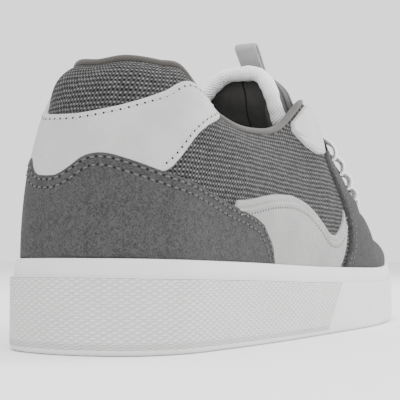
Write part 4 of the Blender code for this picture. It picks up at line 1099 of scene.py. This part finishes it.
def make_tongue():
    along = np.linspace(0.0, 1.0, 110)
    across = np.sin(np.linspace(-np.pi / 2, np.pi / 2, 44))
    grid_l, grid_c = np.meshgrid(along, across, indexing="ij")
    front = tongue_point(grid_l, grid_c, 0.0)
    back = tongue_point(grid_l, grid_c, 1.0)
    wide = TONGUE_CURVE.at(along)[3] * BALL_WIDTH
    u = grid_c * wide[:, None]
    run = lengths(front[:, 22])
    v = np.broadcast_to((run - run[-1])[:, None], u.shape)
    uv = np.stack([u, v], -1)
    piece = Piece()
    piece.grid(front, uv, 0)
    piece.grid(back[:, ::-1], uv[:, ::-1], 1)
    depth = np.linspace(0.0, 1.0, 8)
    for side in (-1.0, 1.0):
        grid_s, grid_d = np.meshgrid(along, depth, indexing="ij")
        edge = tongue_point(grid_s, side, grid_d)
        edge[..., 1] += side * SIDE_BULGE[side] * np.sin(np.pi * grid_d)
        piece.grid(edge if side > 0 else edge[:, ::-1], np.stack([grid_d * 4.0, v[:, :8]], -1), 0)
    for place in (0, -1):
        rim = np.stack([front[place], (front[place] + back[place]) / 2, back[place]])
        if place == -1:
            rim[1, :, 2] += 1.5
        piece.grid(rim, None, 0)
    pad = keep(piece.build("tongue_padded", [KNIT, TONGUE_LINING], smooth_angle=50), "tongue")


ROLL_START = 0.60
ROLL_OUT_SIDES = -0.6
ROLL_OUT_TOP = 2.0
ROLL_OUT_FROM = 0.85
ROLL_HALF_HEIGHT = 3.0


def smooth_path(points, spacing, passes):
    """Evenly spaced path with its corners rounded by repeated averaging; ends stay."""
    even = densify(points, spacing)
    for _ in range(passes):
        even[1:-1] = (even[:-2] + 2 * even[1:-1] + even[2:]) / 4
    return densify(even, spacing)


def tongue_border(start):
    """Points up one edge of the tongue, over its top and down the other, with front directions."""
    side = np.ones(24)
    top = np.linspace(-1.0, 1.0, 14)[1:-1]
    along = np.concatenate([np.linspace(start, 1.0, 24), np.ones(12), np.linspace(1.0, start, 24)])
    across = np.concatenate([-side, top, side])
    return tongue_point(along, across, 1.0), tongue_frame(along)[1], along


def make_tongue_roll():
    path, front, along = tongue_border(ROLL_START)
    middle = path.mean(0)
    ahead = unit(np.gradient(path, axis=0))
    out = unit(np.cross(ahead, front))
    out = np.where(dot(path - middle, out) < 0.0, -out, out)
    rise = np.maximum(along - ROLL_OUT_FROM, 0.0) / (1.0 - ROLL_OUT_FROM)
    outwards = ROLL_OUT_SIDES + (ROLL_OUT_TOP - ROLL_OUT_SIDES) * rise
    path = path + out * outwards[:, None] - front * (ROLL_HALF_HEIGHT - 0.4)
    centres = np.concatenate([path, front], -1)
    even = smooth_path(centres, 0.8, 26)
    centres, front = even[:, :3], unit(even[:, 3:6])
    place = np.arange(len(centres))
    wobble = 1.0 + 0.05 * np.sin(place * 0.35) + 0.03 * np.sin(place * 0.9)
    roll = tube("tongue_edge_roll", centres, front, 3.3 * wobble, 3.5 * wobble, WHITE_RIB,
                "tongue_edge", 24)


LOOP_HALF_WIDTH = 5.2


def ribbon(piece, path, normals, half_width, thick):
    """Flat band with rounded edges along a path."""
    up, across = path_frame(path, normals)
    turn = np.linspace(0.0, 2 * np.pi, 21)
    aside = half_width * np.sign(np.cos(turn)) * np.abs(np.cos(turn)) ** 0.35
    rise = thick / 2 * np.sign(np.sin(turn)) * np.abs(np.sin(turn)) ** 0.6
    points = path[:, None] + across[:, None] * aside[None, :, None] + up[:, None] * rise[None, :, None]
    piece.grid(points, np.stack(np.broadcast_arrays(lengths(path)[:, None], aside), -1))
    for place in (0, -1):
        piece.grid(np.stack([points[place], np.broadcast_to(path[place], points[place].shape)]))


def make_loop():
    centre, front = tongue_frame(0.93)[:2]
    tall = np.array([-front[2], 0.0, front[0]])
    # forward and upward places of the tape's middle line, in millimetres from the tongue's front
    profile = ((0.7, -5.0), (0.9, -1.0), (0.6, 4.0), (-2.0, 9.5), (-5.2, 15.0), (-6.6, 17.4), (-6.2, 18.9),
               (-4.6, 18.8), (-2.6, 16.0), (0.4, 10.5), (2.6, 5.0), (2.9, 0.0), (2.2, -7.0),
               (1.2, -15.0), (0.5, -20.0))
    rows = np.array([centre + front * forward + tall * height for forward, height in profile])
    run = Curve(np.column_stack([np.arange(len(rows)), rows]))
    path = np.stack(run.at(np.linspace(0, len(rows) - 1, 90)), -1)
    path = densify(path, 0.7)
    ahead = unit(np.gradient(path, axis=0))
    normals = np.cross(ahead, np.array([0.0, 1.0, 0.0]))
    piece = Piece()
    ribbon(piece, path, normals, LOOP_HALF_WIDTH, 1.2)
    keep(piece.build("pull_loop_tape", [WEBBING]), "pull_loop")


# Laces: each run leaves one eyelet, crosses the tongue and dives under the other side's edge
EYELETS = (0.519, 0.548, 0.578, 0.609, 0.640, 0.670)
EYELET_UP = 0.84
LACE_HALF = 3.3
LACE_THICKNESS = 1.4
LACE_RISE = 1.4
LACE_RISE_MORE = 0.55
TONGUE_PLACES = (0.640, 0.545, 0.455, 0.360, 0.270)


def make_laces():
    piece = Piece()
    seat = OVERLAY_TOP + LACE_THICKNESS / 2

    def on_edge(share, side, up, lift):
        return off_upper(side * share, up, lift)

    def outwards(share, side):
        return unit(on_edge(share, side, EYELET_UP - 0.2, 0.0) - on_edge(share, side, EYELET_UP, 0.0))

    def run(points, normals):
        table = np.column_stack([np.arange(len(points)), points, normals])
        values = np.stack(Curve(table).at(np.linspace(0, len(points) - 1, 12 * len(points))), -1)
        even = densify(values, 0.8)
        ribbon(piece, even[:, :3], even[:, 3:6], LACE_HALF, LACE_THICKNESS)

    for place, share in enumerate(TONGUE_PLACES):
        centre, front = tongue_frame(share)[:2]
        for side in (1, -1):
            low_share, high_share = EYELETS[place + 1], EYELETS[place]
            lift = 0.9 if side > 0 else 2.2
            rise = LACE_RISE + LACE_RISE_MORE * place
            start_normal = upper_normal(side * low_share, EYELET_UP)
            finish_normal = upper_normal(-side * high_share, EYELET_UP)
            hub = centre + front * (lift + LACE_THICKNESS / 2)
            down = outwards(low_share, side)
            points = [
                on_edge(low_share + 0.001, side, EYELET_UP - 0.085, -0.6),
                on_edge(low_share, side, EYELET_UP - 0.10, seat + rise * 0.45),
                on_edge(low_share - 0.004, side, EYELET_UP - 0.01, seat + rise),
                hub + (on_edge(low_share, side, 1.0, 0.0) - hub) * 0.6 + front * rise * 0.7,
                hub,
                hub + (on_edge(high_share, -side, 1.0, -3.2) - hub) * 0.5 + front * 0.4,
                on_edge(high_share + 0.004, -side, 0.99, -3.4),
                on_edge(high_share, -side, EYELET_UP, -3.2),
            ]
            normals = [down, unit(down + start_normal), start_normal, front, front, front,
                       finish_normal, finish_normal]
            run(np.array(points), np.array(normals))
    share = EYELETS[-1]
    points = []
    normals = []
    for side in (-1, 1):
        edge = [on_edge(share, side, EYELET_UP - 0.03, -0.6),
                on_edge(share, side, EYELET_UP - 0.045, seat + 0.5),
                on_edge(share, side, 0.97, seat + LACE_RISE)]
        facing = upper_normal(side * share, EYELET_UP)
        down = outwards(share, side)
        turned = [down, unit(down + facing), facing]
        points.append(edge if side < 0 else edge[::-1])
        normals.append(turned if side < 0 else turned[::-1])
    bridge = (points[0][-1] + points[1][0]) / 2 + np.array([0.0, 0.0, 1.2])
    path = points[0] + [bridge] + points[1]
    facing = normals[0] + [unit(normals[0][-1] + normals[1][0])] + normals[1]
    run(np.array(path), np.array(facing))
    keep(piece.build("laces_flat", [LACE]), "laces")


def make_eyelets():
    """Punched holes with a pressed rim; each opening is a dark disc of painted shade."""
    rims = Piece()
    hole_shades = Piece()
    turn = np.linspace(0.0, 2 * np.pi, 25)
    for share in EYELETS:
        for side in (1, -1):
            around = side * share
            normal = upper_normal(around, EYELET_UP - 0.08)
            centre, beside = (off_upper(place, EYELET_UP - 0.08, OVERLAY_TOP)
                              for place in (around, around + 0.01))
            ahead = unit(beside - centre)
            ahead = unit(ahead - (ahead @ normal) * normal)
            aside = np.cross(normal, ahead)
            circle = np.cos(turn)[:, None] * ahead + np.sin(turn)[:, None] * aside
            rows = [centre + circle * radius + normal * height
                    for radius, height in ((3.3, -0.05), (3.0, 0.14), (2.6, 0.2), (2.2, 0.1), (2.0, -0.2))]
            rims.grid(np.stack(rows))
            # Dark disc of painted shade standing for the eyelet's opening.
            hole_shades.grid(np.stack([centre + circle * radius + normal * 0.02 for radius in (2.1, 0.001)]))
    keep(rims.build("eyelet_rims", [SUEDE_FRONT_SHADED]), slot="vamp")
    keep(hole_shades.build("eyelet_opening_shade", [HOLE_SHADE]), slot="vamp")


make_sole()
make_insole()
make_upper()
make_overlays()
make_vamp()
make_binding()
make_tongue()
make_tongue_roll()
make_loop()
make_eyelets()
make_laces()

# Camera, as worked out from the photograph: place and turn in the design frame
CAMERA_PLACE = np.array([-296.31, -215.96, 33.5])
CAMERA_YAW = 61.564
CAMERA_PITCH = 3.044
CAMERA_FOCUS = 1064.8
IMAGE_SIZE = 400.0
SENSOR = 36.0
camera_data = bpy.data.cameras.new("camera")
camera_data.sensor_width = SENSOR
camera_data.lens = CAMERA_FOCUS / IMAGE_SIZE * SENSOR
camera_data.clip_start = 0.01
camera_data.clip_end = 20.0
camera = link("camera", camera_data)
camera.location = Vector((CAMERA_PLACE - SHIFT) * MM)
camera.rotation_euler = (math.radians(90.0 + CAMERA_PITCH), 0.0, math.radians(-CAMERA_YAW))
bpy.context.scene.camera = camera

# Floor and soft light
floor_mesh = bpy.data.meshes.new("studio_floor")
reach = 6.0
corners = [(-reach, -reach, 0.0), (reach, -reach, 0.0), (reach, reach, 0.0), (-reach, reach, 0.0)]
floor_mesh.from_pydata(corners, [], [(0, 1, 2, 3)])
floor = link("studio_floor", floor_mesh)
floor_graph = Graph("studio_floor", Base_Color=(0.9, 0.9, 0.9, 1.0), Roughness=1.0, Specular_IOR_Level=0.0)
floor_mesh.materials.append(floor_graph.material)

world = bpy.data.worlds.new("studio")
world.use_nodes = True
world.node_tree.nodes["Background"].inputs["Color"].default_value = (1.0, 1.0, 1.0, 1.0)
world.node_tree.nodes["Background"].inputs["Strength"].default_value = 1.6
bpy.context.scene.world = world


def light(name, place, aim, size, power):
    data = bpy.data.lights.new(name, "AREA")
    data.shape = "RECTANGLE"
    data.size, data.size_y = size
    data.energy = power
    lamp = link(name, data)
    lamp.location = Vector(place)
    lamp.rotation_euler = (Vector(aim) - Vector(place)).to_track_quat("-Z", "Y").to_euler()


light("key", (-0.9, -0.5, 1.1), (0.0, 0.0, 0.05), (0.9, 0.9), 11.0)
light("top", (0.1, 0.0, 1.5), (0.0, 0.0, 0.0), (1.4, 1.0), 12.0)
light("front", (0.95, -0.75, 0.55), (0.06, 0.0, 0.08), (0.7, 0.7), 17.0)
